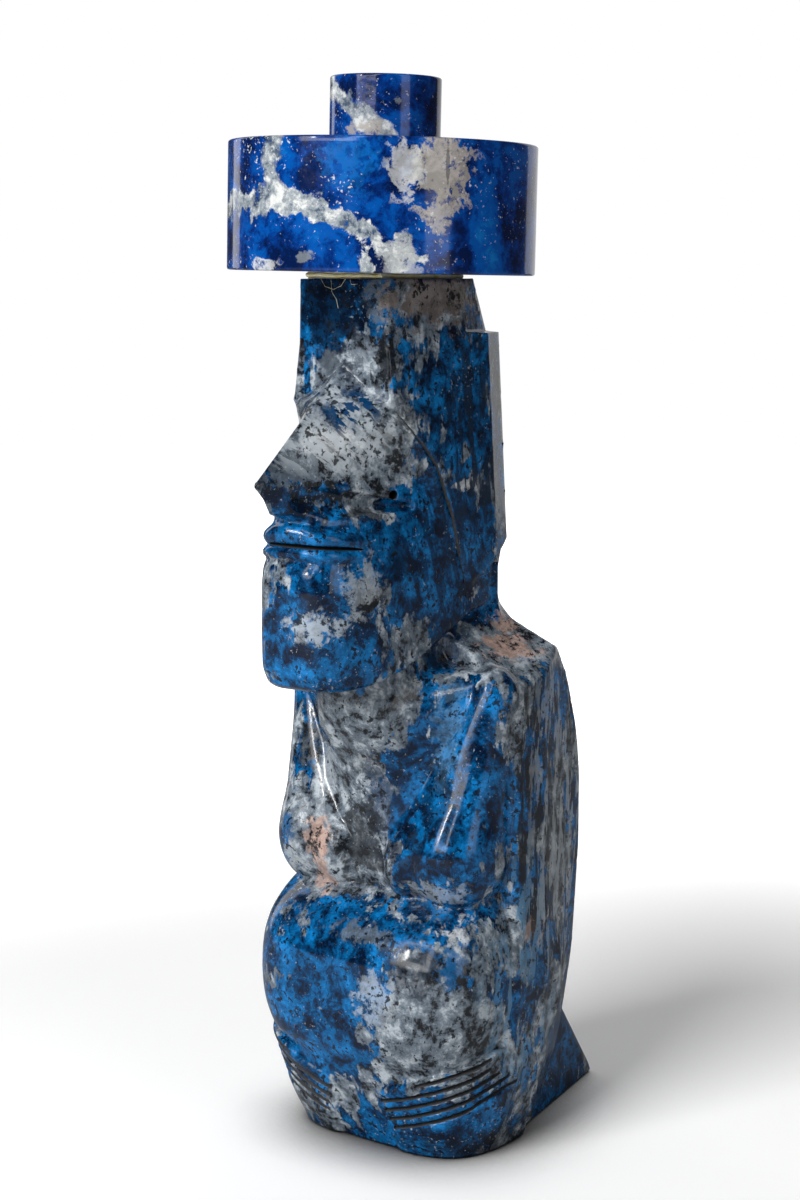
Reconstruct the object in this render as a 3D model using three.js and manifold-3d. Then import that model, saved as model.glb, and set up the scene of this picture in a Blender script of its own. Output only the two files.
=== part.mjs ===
// A souvenir moai in polished blue stone: a full figure with its hands over its belly,
// a round stone hat glued on the head and a small knob on the hat.
// Millimetres, +Z up. The figure faces -Y, its left side is +X, and the hat's axis is X = Y = 0.
import * as THREE from 'three';
import { ConvexGeometry } from 'three/addons/geometries/ConvexGeometry.js';
import { mergeVertices } from 'three/addons/utils/BufferGeometryUtils.js';
import Module from 'manifold-3d';

const wasm = await Module();
wasm.setup();

// Hat and knob
const hatRadius = 50.8;
const hatHeight = 41.8;
const hatBevel = 0.8;
const hatTilt = 1.2;
const hatLean = 38;
const knobRadius = 18.3;
const knobHeight = 21;
const knobBevel = 0.7;
const knobOffset = 0.6;
const turnedSides = 96;
const glueThickness = 1.6;
const jointGap = 0.3;

// Head
const headTop = 296;
const crownBack = 28;
const foreheadFront = -20.6;
const rootHeight = 268;
const tipHeight = 232;
const tipFront = -64;
const headHalfWidth = 24;
const headBack = 44;
const mouthHeight = 211.8;
const lipProud = 2.4;
const chinFront = -49;
const jawFront = 164;
const jawBack = 187;
const earTop = 278;
const earProud = 1.4;
const nostrilRadius = 1.5;
const nostrilDepth = 5;

// Torso
const shoulderHalfWidth = 45.7;
const elbowHalfWidth = 49;
const elbowHeight = 62;
const backFace = 60.5;
const armFront = 13;
const padHeight = 101;
const padFront = 3.6;
const bellyHeight = 62;
const bellyFront = -24.5;
const bellyHalfWidth = 48;
const handProud = 1.6;
const fingerTip = 9;
const tailReach = 100;
const tailHeight = 59;

// Saw cuts
const mouthCut = 1.5;
const fingerCut = 1.3;
const fingerCount = 4;

const stone = (color) => new THREE.MeshStandardMaterial({ color, roughness: 0.18, metalness: 0 });
const figureStone = stone(0x3f5c84);
const hatStone = stone(0x1d3fa0);
const curedGlue = new THREE.MeshStandardMaterial({ color: 0xb9ab6e, roughness: 0.35, metalness: 0 });

const vec = (x, y, z) => new THREE.Vector3(x, y, z);
const lerp = THREE.MathUtils.lerp;

// A closed mesh as a solid that can be joined and cut
function solidOf(geometry) {
  const bare = geometry.clone();
  bare.deleteAttribute('normal');
  bare.deleteAttribute('uv');
  const welded = mergeVertices(bare, 1e-4);
  const vertProperties = new Float32Array(welded.attributes.position.array);
  const triVerts = new Uint32Array(welded.index.array);
  return new wasm.Manifold(new wasm.Mesh({ numProp: 3, vertProperties, triVerts }));
}

function geometryOf(solid) {
  const mesh = solid.getMesh();
  const geometry = new THREE.BufferGeometry();
  geometry.setAttribute('position', new THREE.BufferAttribute(mesh.vertProperties, 3));
  geometry.setIndex(new THREE.BufferAttribute(mesh.triVerts, 1));
  return geometry;
}

const joinAll = (solids) => solids.reduce((whole, piece) => whole.add(piece));
const cutAll = (whole, cuts) => cuts.reduce((rest, cut) => rest.subtract(cut), whole);
const mirrored = (points) => points.concat(points.map((p) => vec(-p.x, p.y, p.z)));
const hull = (points) => solidOf(new ConvexGeometry(points));
const pair = (makeSide) => [makeSide(1), makeSide(-1)];

// Points on an ellipsoid, for lobes and rounded hulls
function ballPoints(centre, radii, columns = 16, rows = 9) {
  const points = [];
  for (let row = 0; row <= rows; row += 1) {
    const polar = (Math.PI * row) / rows;
    const around = row === 0 || row === rows ? 1 : columns;
    for (let column = 0; column < around; column += 1) {
      const turn = (2 * Math.PI * column) / around;
      points.push(vec(
        centre.x + radii.x * Math.sin(polar) * Math.cos(turn),
        centre.y + radii.y * Math.sin(polar) * Math.sin(turn),
        centre.z + radii.z * Math.cos(polar),
      ));
    }
  }
  return points;
}

// A solid through level rings. Each level is [height, half outline from front to back].
function loft(levels) {
  const rings = levels.map(([height, half]) => {
    const near = half.map(([x, y]) => vec(x, y, height));
    const far = half.filter(([x]) => x > 0).reverse().map(([x, y]) => vec(-x, y, height));
    return near.concat(far);
  });
  const count = rings[0].length;
  const positions = rings.flat().flatMap((p) => p.toArray());
  const corners = rings.flat();
  const faces = [];
  for (let ring = 0; ring + 1 < rings.length; ring += 1) {
    for (let i = 0; i < count; i += 1) {
      const a = ring * count + i;
      const b = ring * count + ((i + 1) % count);
      const rising = corners[a].distanceTo(corners[b + count]) < corners[b].distanceTo(corners[a + count]);
      if (rising) faces.push(a, b, b + count, a, b + count, a + count);
      else faces.push(a, b, a + count, b, b + count, a + count);
    }
  }
  const outline = rings[0].map((p) => new THREE.Vector2(p.x, p.y));
  const topOutline = rings.at(-1).map((p) => new THREE.Vector2(p.x, p.y));
  const last = (rings.length - 1) * count;
  THREE.ShapeUtils.triangulateShape(outline, []).forEach(([a, b, c]) => faces.push(a, c, b));
  THREE.ShapeUtils.triangulateShape(topOutline, []).forEach(([a, b, c]) => faces.push(last + a, last + b, last + c));
  const geometry = new THREE.BufferGeometry();
  geometry.setAttribute('position', new THREE.Float32BufferAttribute(positions, 3));
  geometry.setIndex(faces);
  return solidOf(geometry);
}

// A value read from [height, value] pairs, straight between them
function along(pairs, height) {
  const after = pairs.findIndex(([level]) => level >= height);
  if (after === 0) return pairs[0][1];
  if (after < 0) return pairs.at(-1)[1];
  const [z0, v0] = pairs[after - 1];
  const [z1, v1] = pairs[after];
  return lerp(v0, v1, (height - z0) / (z1 - z0));
}

// Head: front line, wing column and the crease where the face is carved into the head block
const frontLine = [
  [jawFront - 14, chinFront + 8], [jawFront, chinFront + 5], [jawFront + 3, chinFront + 1.5], [172, chinFront],
  [198, chinFront], [205, chinFront + 0.5], [207, chinFront + 2.5], [220, chinFront + 1], [222.5, -56.5],
  [227.5, -59.5], [tipHeight, tipFront], [rootHeight, foreheadFront], [headTop, foreheadFront],
];
const cheekWidth = [
  [jawFront - 14, 10], [jawFront, 11], [172, 12.5], [205, 12.5], [222, 11], [tipHeight, 6.5], [244, 6], [256, 5],
  [261, 4], [rootHeight, 0.4], [headTop, 0.4],
];
const cheekDepth = [
  [jawFront - 14, chinFront + 7], [jawFront, chinFront + 4.5], [jawFront + 3, chinFront + 1.8],
  [172, chinFront + 0.4], [198, chinFront + 0.4], [205, chinFront + 0.8], [207, chinFront + 3],
  [221, chinFront + 4.5], [tipHeight, -48], [244, -39], [256, -31.4], [261, -25.6], [rootHeight, foreheadFront],
  [headTop, foreheadFront],
];
const wingWidth = [
  [jawFront - 14, 18], [jawFront, 19], [172, 20.2], [198, 20.2], [212, 19.2], [222, 17.5], [tipHeight, 13],
  [244, 14], [256, 19.6], [261, 10], [rootHeight, 0.8], [271, 0.8], [274, 12.5], [headTop, 12.5],
];
const wingDepth = [
  [jawFront - 14, -30], [jawFront, -31], [172, -32], [198, -31.5], [206, -30.5], [tipHeight, -30.5],
  [244, -24.2], [256, foreheadFront - 0.3], [261, foreheadFront], [headTop, foreheadFront],
];
const seamWidth = [
  [jawFront - 14, 21], [jawFront, 21.6], [184, 22.4], [206, 22.6], [222, 22.8], [235, 23], [244, 22.4],
  [256, 20.4], [rootHeight, 19.2], [275, 18.4], [headTop, 18.4],
];
const seamDepth = [
  [jawFront - 14, 0], [jawFront, 4], [184, 19], [196, 18.6], [206, 12.3], [219, 8.3], [223, 6.1], [235, 0],
  [244, -8.6], [256, foreheadFront], [262, foreheadFront + 0.4], [headTop, foreheadFront + 1.3],
];
const sideWidth = [
  [jawFront, 22.2], [196, 23.2], [206, 23.5], [235, 23.8], [244, 23.2], [256, 21.2], [275, 19],
  [headTop, 18.9],
];
const sideStep = [[jawFront, 0.3], [244, 0.5], [256, 0.6], [266, 2.4], [headTop, 2.4]];
const rearWidth = [
  [jawFront, 22.5], [206, 24], [earTop, headHalfWidth], [earTop + 0.6, 22.2], [headTop, 20.2],
];
const rearDepth = [
  [jawFront, 30], [206, 33], [228, 31], [earTop, 27], [earTop + 0.6, 17], [headTop, 14],
];
const backWidth = [[jawFront, 19.5], [206, 20.5], [earTop, 20], [earTop + 0.6, 18.2], [headTop, 17.2]];
const backDepth = [
  [jawFront, 37], [187, 39], [206, headBack], [earTop, 39], [earTop + 0.6, 34], [headTop, crownBack],
];

// How far the corners of the face's level outline are rounded, full at the chin and none at the nose
const softFace = [[204, 0.48], [222, 0.35], [231, 0.05], [240, 0.02], [headTop, 0.02]];

function rounded(before, corner, after, share) {
  const first = [0, 1].map((i) => lerp(corner[i], before[i], share));
  const last = [0, 1].map((i) => lerp(corner[i], after[i], share));
  const middle = [0, 1].map((i) => (first[i] + 2 * corner[i] + last[i]) / 4);
  return [first, middle, last];
}

function headSection(height) {
  const read = (widths, depths) => [along(widths, height), along(depths, height)];
  const seam = read(seamWidth, seamDepth);
  const front = [0, along(frontLine, height)];
  const cheek = read(cheekWidth, cheekDepth);
  const wing = read(wingWidth, wingDepth);
  const share = along(softFace, height);
  return [height, [
    front,
    ...rounded(front, cheek, wing, share),
    ...rounded(cheek, wing, seam, share),
    seam,
    [along(sideWidth, height), seam[1] + along(sideStep, height)],
    read(rearWidth, rearDepth),
    read(backWidth, backDepth),
  ]];
}

const headLevels = [
  jawFront - 14, jawFront, jawFront + 3, 172, 184, 196, 205, 207, 213, 219, 222.5, 227.5, tipHeight, 238, 244,
  250, 256, 258.5, 261, 264.5, rootHeight, 271, 274, earTop, earTop + 0.6, headTop,
];

// A side view outline as [depth, height] points, drawn right across the figure
function across(outline, halfWidth, offset = 0) {
  const shape = new THREE.Shape(outline.map(([y, z]) => new THREE.Vector2(y, z)));
  const slab = new THREE.ExtrudeGeometry(shape, { depth: halfWidth * 2, bevelEnabled: false });
  slab.translate(0, 0, offset - halfWidth);
  slab.applyMatrix4(new THREE.Matrix4().set(0, 0, 1, 0, 1, 0, 0, 0, 0, 1, 0, 0, 0, 0, 0, 1));
  return solidOf(slab);
}

const jawLine = [
  [-38, jawFront], [-30, jawFront + 0.8], [-18, 168], [-6.5, 171.8], [8.8, 179], [21, 184.7], [38, jawBack],
  [60, jawBack + 2],
];

function makeHead() {
  const block = loft(headLevels.map(headSection));
  const below = across([[-90, jawFront], ...jawLine, [60, 100], [-90, 100]], 60);
  const jawCorner = pair((side) => across([
    [18.6, 193.5], [21, 191.5], [44, 206.5], [60, 217], [60, 150], [8, 150], [8, 176],
  ], 10, side * (headHalfWidth - earProud + 10)));
  const carved = cutAll(block, [below, ...jawCorner, ...pair(makeScoop), ...pair(makeNostril)]);
  return cutAll(joinAll([carved, ...makeLips()]), [makeMouthCut()]);
}

// The hollow under each wing of the nose, above the upper lip
function makeScoop(side) {
  const front = ballPoints(vec(side * 8, -51, 227.5), vec(5, 7.5, 6.2), 12, 7);
  const middle = ballPoints(vec(side * 14, -37, 225.5), vec(5, 7, 4.4), 12, 7);
  const back = ballPoints(vec(side * 19.5, -14, 222.6), vec(3, 5, 1.7), 12, 7);
  return joinAll([hull(front.concat(middle)), hull(middle.concat(back))]);
}

function makeNostril(side) {
  const drill = new THREE.CylinderGeometry(nostrilRadius, nostrilRadius, nostrilDepth * 2, 14);
  drill.rotateZ(Math.PI / 2 + side * 0.3);
  drill.translate(side * 17, -14.7, 227);
  return solidOf(drill);
}

// Two lips, each a low ridge bowed around the front of the mouth
function makeLips() {
  const face = along(frontLine, mouthHeight);
  const lip = (bottom, crest, top) => hull(mirrored([
    vec(0, face, top), vec(10, face + 1.5, top), vec(17, face + 14, top - 2),
    vec(0, face - lipProud, crest), vec(9, face - lipProud + 1, crest), vec(14.5, face + 5.5, crest - 0.5),
    vec(0, face - lipProud + 1, bottom), vec(10, face, bottom), vec(18, face + 14, bottom),
    vec(0, face + 12, top), vec(0, face + 12, bottom), vec(14, face + 17, bottom),
  ]));
  return [
    lip(mouthHeight - 0.5, mouthHeight + 4, mouthHeight + 7.8),
    lip(mouthHeight - 4.8, mouthHeight - 2, mouthHeight + 0.5),
  ];
}

function makeMouthCut() {
  const corners = [[18, -28, 0.5], [18, -70, 0.5], [12, -40, mouthCut], [12, -70, mouthCut]];
  return hull(mirrored(corners.flatMap(([x, y, thickness]) => [
    vec(x, y, mouthHeight - thickness / 2),
    vec(x, y, mouthHeight + thickness / 2),
  ])));
}

function makeNeck() {
  const levels = [
    [120, -4, 19], [138, -12, 18], [143, -17, 17], [150, -21, 16.5], [160, -22.5, 16.5], [200, -22, 16.5],
  ];
  return loft(levels.map(([height, front, halfWidth]) => [height, [
    [0, front], [halfWidth * 0.5, front + 1.2], [halfWidth * 0.85, front + 6], [halfWidth, front + 15],
    [halfWidth + 1, 12], [22.5, 36], [19.5, 40], [0, 40],
  ]]));
}

const armOuter = [
  [0, 38.5], [12, 43], [30, 47.5], [elbowHeight, elbowHalfWidth], [100, 47], [140, 46],
  [185, shoulderHalfWidth],
];

// Back, shoulders and arms as one block, narrowing to the back and to the ground
function makeBackBlock() {
  const rear = [[0, 30], [12, 33], [30, 37], [elbowHeight, 40], [100, 40.5], [140, 40.5], [172, 39.5], [185, 39.5]];
  const back = [
    [0, 50], [30, 54], [elbowHeight, backFace - 3], [100, backFace], [125, backFace], [140, backFace - 2],
    [160, backFace - 7.5], [172, 46.5], [185, 41],
  ];
  const front = [[0, 10], [elbowHeight - 20, armFront - 6], [elbowHeight + 20, armFront], [185, armFront]];
  const side = [[0, 25], [elbowHeight, 30], [185, 31]];
  const block = loft([0, 12, 30, elbowHeight, 80, 100, 125, 140, 160, 172, 190].map((height) => [height, [
    [0, along(front, height)],
    [along(armOuter, height) - 4, along(front, height)],
    [along(armOuter, height) - 1.2, along(front, height) + 1.2],
    [along(armOuter, height), along(front, height) + 4],
    [along(armOuter, height), along(side, height)],
    [along(rear, height), along(back, height)],
    [0, along(back, height)],
  ]]));
  const above = pair((side) => hull([
    vec(0, -10, 184), vec(0, 70, 197), vec(side * 12, -10, 177), vec(side * 12, 70, 192),
    vec(side * 60, -10, 149), vec(side * 60, 70, 167), vec(side * 60, -10, 260), vec(side * 60, 70, 260),
    vec(0, -10, 260), vec(0, 70, 260),
  ]));
  return cutAll(block, above);
}

// Flat of the chest between the pads, and the slope from the neck to each shoulder
function makeChest() {
  const top = ballPoints(vec(0, 12, 140), vec(31, 18.5, 14));
  const low = ballPoints(vec(0, 12.5, 98), vec(36, 19.5, 16));
  const slopes = pair((side) => hull([
    ...ballPoints(vec(side * 10, 6, 150), vec(12, 19, 16)),
    ...ballPoints(vec(side * 35, 15, 158), vec(8, 9, 10)),
  ]));
  return joinAll([hull(top.concat(low)), ...slopes]);
}

// Each pad of the chest hangs from the shoulder and is broadest at its foot
function makePectoral(side) {
  const inner = ballPoints(vec(side * 14, padFront, padHeight), vec(8.5, 13.8, 13));
  const outer = ballPoints(vec(side * 30, padFront + 2.9, padHeight + 3.5), vec(13.5, 17.3, 18));
  const high = ballPoints(vec(side * 39, 12, 159), vec(6, 6.5, 7.5), 12, 8);
  return hull(inner.concat(outer, high));
}

// One side of a squarish rounded ring, from its front to its middle
function squareRing(halfWidth, front, middle, power, steps) {
  const half = [];
  for (let i = 0; i <= steps; i += 1) {
    const turn = (Math.PI / 2) * (i / steps);
    half.push([
      i === 0 ? 0 : halfWidth * Math.sin(turn) ** (2 / power),
      i === steps ? middle : middle + (front - middle) * Math.cos(turn) ** (2 / power),
    ]);
  }
  return half;
}

const footFront = [
  [0, -7], [3, -9], [8, -11.5], [14, -14], [25, -17.5], [33, -20], [44, bellyFront + 1],
];

// Belly: squarish rounded rings, fullest a third of the way up the torso
function makeBelly() {
  const footWidth = [[0, 25], [3, 28], [8, 33], [14, 36.5], [25, 40], [33, 42], [44, 46.5]];
  const foot = [0, 3, 8, 14, 25, 33, 38, 44].map((height) => {
    const inset = height < bellyHeight - 25 ? handProud : 0;
    return [height, along(footWidth, height) - inset, along(footFront, height) + inset];
  });
  const levels = [
    ...foot, [54, bellyHalfWidth, bellyFront], [bellyHeight + 4, bellyHalfWidth, bellyFront + 0.5],
    [74, 46.8, -22], [81, 44.8, -18.5], [88, 42, -13.5], [93, 38, -8], [97, 33, -3],
  ];
  const middle = 22;
  return loft(levels.map(([height, halfWidth, front]) => [
    height, [...squareRing(halfWidth, front, middle, 3.8, 14), [halfWidth * 0.8, middle + 14]],
  ]));
}

// Each hand wraps the foot of the belly and runs on into the arm; its top edge rises outwards
function makeHand(side) {
  const top = [[8, 24], [22, 28.5], [34, 33.5], [46, 38], [60, 42]];
  const middle = 25;
  const steps = 16;
  const ringAt = (height) => squareRing(along(armOuter, height), along(footFront, height), middle, 3.5, steps);
  const guide = ringAt(28);
  const points = [vec(fingerTip, middle, 0), vec(fingerTip, middle, 20)];
  for (let i = 0; i <= steps; i += 1) {
    const [x, y] = guide[i];
    const highest = along(top, x + Math.max(0, y + 4) * 0.8);
    for (let level = 0; level <= 5; level += 1) {
      const height = (highest * level) / 5;
      const [atX, atY] = ringAt(height)[i];
      points.push(vec(Math.max(atX, fingerTip), atY, height));
    }
  }
  return hull(points.map((p) => vec(side * p.x, p.y, p.z)));
}

function makeFingerCuts(side) {
  const tips = [23.4, 19.2, 15.6, 12, 8.4];
  const outers = [36.6, 33, 29.5, 26, 22.5];
  const cuts = [];
  for (let i = 0; i <= fingerCount; i += 1) {
    const rise = outers[i] - tips[i];
    const start = i === 0 ? 22 : fingerTip + 1 + i * 0.6;
    const line = [
      vec(start, -17.5, tips[i] + rise * 0.28 * (i === 0 ? 1 : 0)), vec(22.5, -17, tips[i] + rise * 0.28),
      vec(34, -12, tips[i] + rise * 0.6), vec(42.5 + i * 0.5, 3 + i * 2, outers[i]),
    ].slice(i === 0 ? 1 : 0);
    for (let k = 0; k + 1 < line.length; k += 1) {
      const points = [line[k], line[k + 1]].flatMap((p) => {
        const inside = vec(p.x * 0.9, p.y + 4, p.z);
        const outside = vec(p.x * 1.25, p.y - 9, p.z);
        return [inside, outside].flatMap((q) => [
          vec(q.x, q.y, q.z - fingerCut / 2),
          vec(q.x, q.y, q.z + fingerCut / 2),
        ]);
      });
      cuts.push(hull(points.map((p) => vec(side * p.x, p.y, p.z))));
    }
  }
  return joinAll(cuts);
}

function makeTail() {
  return hull(mirrored([
    vec(30, 50, 0), vec(21, tailReach, 0), vec(20, tailReach, 3), vec(30, 50, tailHeight), vec(34, 40, 0),
    vec(34, 40, tailHeight),
  ]));
}

function makeFigure() {
  const torso = joinAll([
    makeBackBlock(), makeChest(), ...pair(makePectoral), makeBelly(), ...pair(makeHand), makeTail(), makeNeck(),
  ]);
  return joinAll([cutAll(torso, pair(makeFingerCuts)), makeHead()]);
}

function turned(radius, height, bevel) {
  const outline = [
    [0, 0], [radius - bevel, 0], [radius, bevel], [radius, height - bevel], [radius - bevel, height], [0, height],
  ];
  const drum = new THREE.LatheGeometry(outline.map(([r, z]) => new THREE.Vector2(r, z)), turnedSides);
  drum.rotateX(Math.PI / 2);
  return drum;
}

function meshOf(name, geometry, material) {
  const mesh = new THREE.Mesh(geometry, material);
  mesh.name = name;
  return mesh;
}

const part = new THREE.Group();
part.add(meshOf('figure', geometryOf(makeFigure()), figureStone));

const hat = new THREE.Group();
hat.position.set(0, 0, headTop + glueThickness + jointGap);
const lean = THREE.MathUtils.degToRad(hatLean);
hat.quaternion.setFromAxisAngle(vec(-Math.sin(lean), Math.cos(lean), 0), THREE.MathUtils.degToRad(hatTilt));
hat.add(meshOf('hat_disc', turned(hatRadius, hatHeight, hatBevel), hatStone));
const knob = meshOf('hat_knob', turned(knobRadius, knobHeight, knobBevel), hatStone);
knob.position.set(knobOffset, 0, hatHeight + jointGap);
hat.add(knob);
part.add(hat);

// Cured glue in the wedge between the level head and the leaning hat
const glueOutline = [
  [-16.5, -19.6], [-8, -20.2], [3, -20.3], [15, -19.2], [17.2, -8], [18.4, 12], [15.5, 26], [-15.5, 26],
  [-18.4, 12], [-17.6, -8],
];
const gluePoints = glueOutline.flatMap(([x, y]) => {
  const across = x * Math.cos(lean) + y * Math.sin(lean);
  const underside = hat.position.z - across * Math.tan(THREE.MathUtils.degToRad(hatTilt));
  return [vec(x, y, headTop + jointGap), vec(x, y, underside - jointGap)];
});
part.add(meshOf('glue_bead', new ConvexGeometry(gluePoints), curedGlue));

export default part;
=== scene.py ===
# A souvenir moai in polished blue stone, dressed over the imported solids.
import math
import time
import bmesh
import bpy
import numpy as np
from mathutils import Matrix, Vector


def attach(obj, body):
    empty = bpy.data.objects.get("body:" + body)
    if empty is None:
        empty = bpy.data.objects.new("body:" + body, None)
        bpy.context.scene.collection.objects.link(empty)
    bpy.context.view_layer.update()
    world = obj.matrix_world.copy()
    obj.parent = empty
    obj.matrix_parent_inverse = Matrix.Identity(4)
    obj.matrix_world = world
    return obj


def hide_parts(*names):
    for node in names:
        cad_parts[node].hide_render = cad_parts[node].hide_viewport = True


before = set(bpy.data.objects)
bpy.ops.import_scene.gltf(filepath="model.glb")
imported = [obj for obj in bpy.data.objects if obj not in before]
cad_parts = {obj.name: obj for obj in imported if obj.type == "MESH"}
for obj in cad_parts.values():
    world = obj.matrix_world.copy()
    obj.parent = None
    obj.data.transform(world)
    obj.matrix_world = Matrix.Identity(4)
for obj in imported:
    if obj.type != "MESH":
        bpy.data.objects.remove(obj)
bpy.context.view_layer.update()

mm = 0.001
started = time.time()


def report(stage):
    print(f"{stage}: {time.time() - started:.1f} s")


def placeObject(name, data):
    placed = bpy.data.objects.new(name, data)
    bpy.context.collection.objects.link(placed)
    return placed


def meshData(name, mesh):
    # a bmesh handed over as plain mesh data
    data = bpy.data.meshes.new(name)
    mesh.to_mesh(data)
    mesh.free()
    return data


# Camera, where the photograph was taken from
view = {
    "azimuth": 38.0,     # degrees round from the figure's front to its left side
    "pitch": 8.2,        # degrees down
    "distance": 766.7,   # level distance from the hat's axis
    "height": 299.3,
    "aside": 6.33,       # the lens axis passes this far right of the hat's axis
    "focal": 2300.0,     # in pixels of the frame
    "pixels": 1200,      # height of the frame
    "sensor": 36,
    "farthest": 20,      # metres
}


def makeCamera():
    turn = math.radians(view["azimuth"])
    right = Vector((math.cos(turn), math.sin(turn), 0))
    away = Vector((-math.sin(turn), math.cos(turn), 0))
    eye = -away * view["distance"] + right * view["aside"] + Vector((0, 0, view["height"]))
    data = bpy.data.cameras.new("camera")
    data.sensor_fit = "VERTICAL"
    data.sensor_height = view["sensor"]
    data.lens = view["focal"] * view["sensor"] / view["pixels"]
    data.clip_end = view["farthest"]
    camera = placeObject("camera", data)
    camera.location = eye * mm
    camera.rotation_euler = (math.radians(90 - view["pitch"]), 0, turn)
    bpy.context.scene.camera = camera


makeCamera()

# Simple helpers for carving with distance fields, negative inside the stone
tiny = 1e-9


def mirrored(p):
    # the stone is the same on both sides of x = 0
    return np.abs(p[:, 0]), p[:, 1], p[:, 2]


def smoothMin(a, b, reach):
    blend = np.clip(0.5 + 0.5 * (b - a) / reach, 0, 1)
    return b + (a - b) * blend - reach * blend * (1 - blend)


def smoothMax(a, b, reach):
    return -smoothMin(-a, -b, reach)


def along(pairs, height, soften=1.5):
    levels = [level for level, value in pairs]
    values = [value for level, value in pairs]
    steps = (-1.0, -0.5, 0.0, 0.5, 1.0)
    return sum(np.interp(height + soften * step, levels, values) for step in steps) / len(steps)


def outlineField(p, corners):
    # corners run from front to back on one side
    ax, y, z = mirrored(p)
    nearest = np.full(len(p), 1e12)
    inside = np.zeros(len(p), bool)
    for (x0, y0), (x1, y1) in zip(corners[:-1], corners[1:]):
        ex, ey = x1 - x0, y1 - y0
        px, py = ax - x0, y - y0
        share = np.clip((px * ex + py * ey) / (ex * ex + ey * ey + tiny), 0, 1)
        nearest = np.minimum(nearest, (px - ex * share) ** 2 + (py - ey * share) ** 2)
        spans = (y0 > y) != (y1 > y)
        rise = np.where(np.abs(ey) < tiny, tiny, ey)
        inside ^= spans & (ax < x0 + py * ex / rise)
    return np.where(inside, -1, 1) * np.sqrt(nearest)


def rounded(before, corner, after, share):
    # a corner turned into a short curve; share is how far it reaches along both sides
    first = [corner[i] + (before[i] - corner[i]) * share for i in (0, 1)]
    last = [corner[i] + (after[i] - corner[i]) * share for i in (0, 1)]
    return [tuple(
        (1 - t) ** 2 * first[i] + 2 * t * (1 - t) * corner[i] + t ** 2 * last[i] for i in (0, 1))
        for t in (0.0, 0.25, 0.5, 0.75, 1.0)]


def hullPlanes(points):
    mesh = bmesh.new()
    for point in points:
        mesh.verts.new(point)
    bmesh.ops.convex_hull(mesh, input=mesh.verts)
    mesh.normal_update()
    planes = [(*face.normal, face.normal.dot(face.verts[0].co)) for face in mesh.faces]
    mesh.free()
    return np.array(planes)


def hullField(p, planes):
    side = np.column_stack(mirrored(p))
    return (side @ planes[:, :3].T - planes[:, 3]).max(1)


def limbField(p, start, end, count=9):
    # a tapering limb between two ellipsoids, each given as centre and radii
    side = np.column_stack(mirrored(p))
    first, last = np.array(start, float), np.array(end, float)

    def swollen(share):
        centre = first[0] + (last[0] - first[0]) * share[:, None]
        radii = first[1] + (last[1] - first[1]) * share[:, None]
        return (np.sqrt((((side - centre) / radii) ** 2).sum(1)) - 1) * radii.min(1)

    shares = np.linspace(0, 1, count)
    trials = np.stack([swollen(np.full(len(p), share)) for share in shares])
    best = np.clip(trials.argmin(0), 1, count - 2)
    row = np.arange(len(p))
    before, middle, after = trials[best - 1, row], trials[best, row], trials[best + 1, row]
    bend = before - 2 * middle + after
    shift = np.clip(0.5 * (before - after) / np.where(np.abs(bend) < tiny, tiny, bend), -1, 1)
    refined = swollen(np.clip(shares[best] + shift / (count - 1), 0, 1))
    return np.minimum(trials.min(0), refined)


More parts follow.
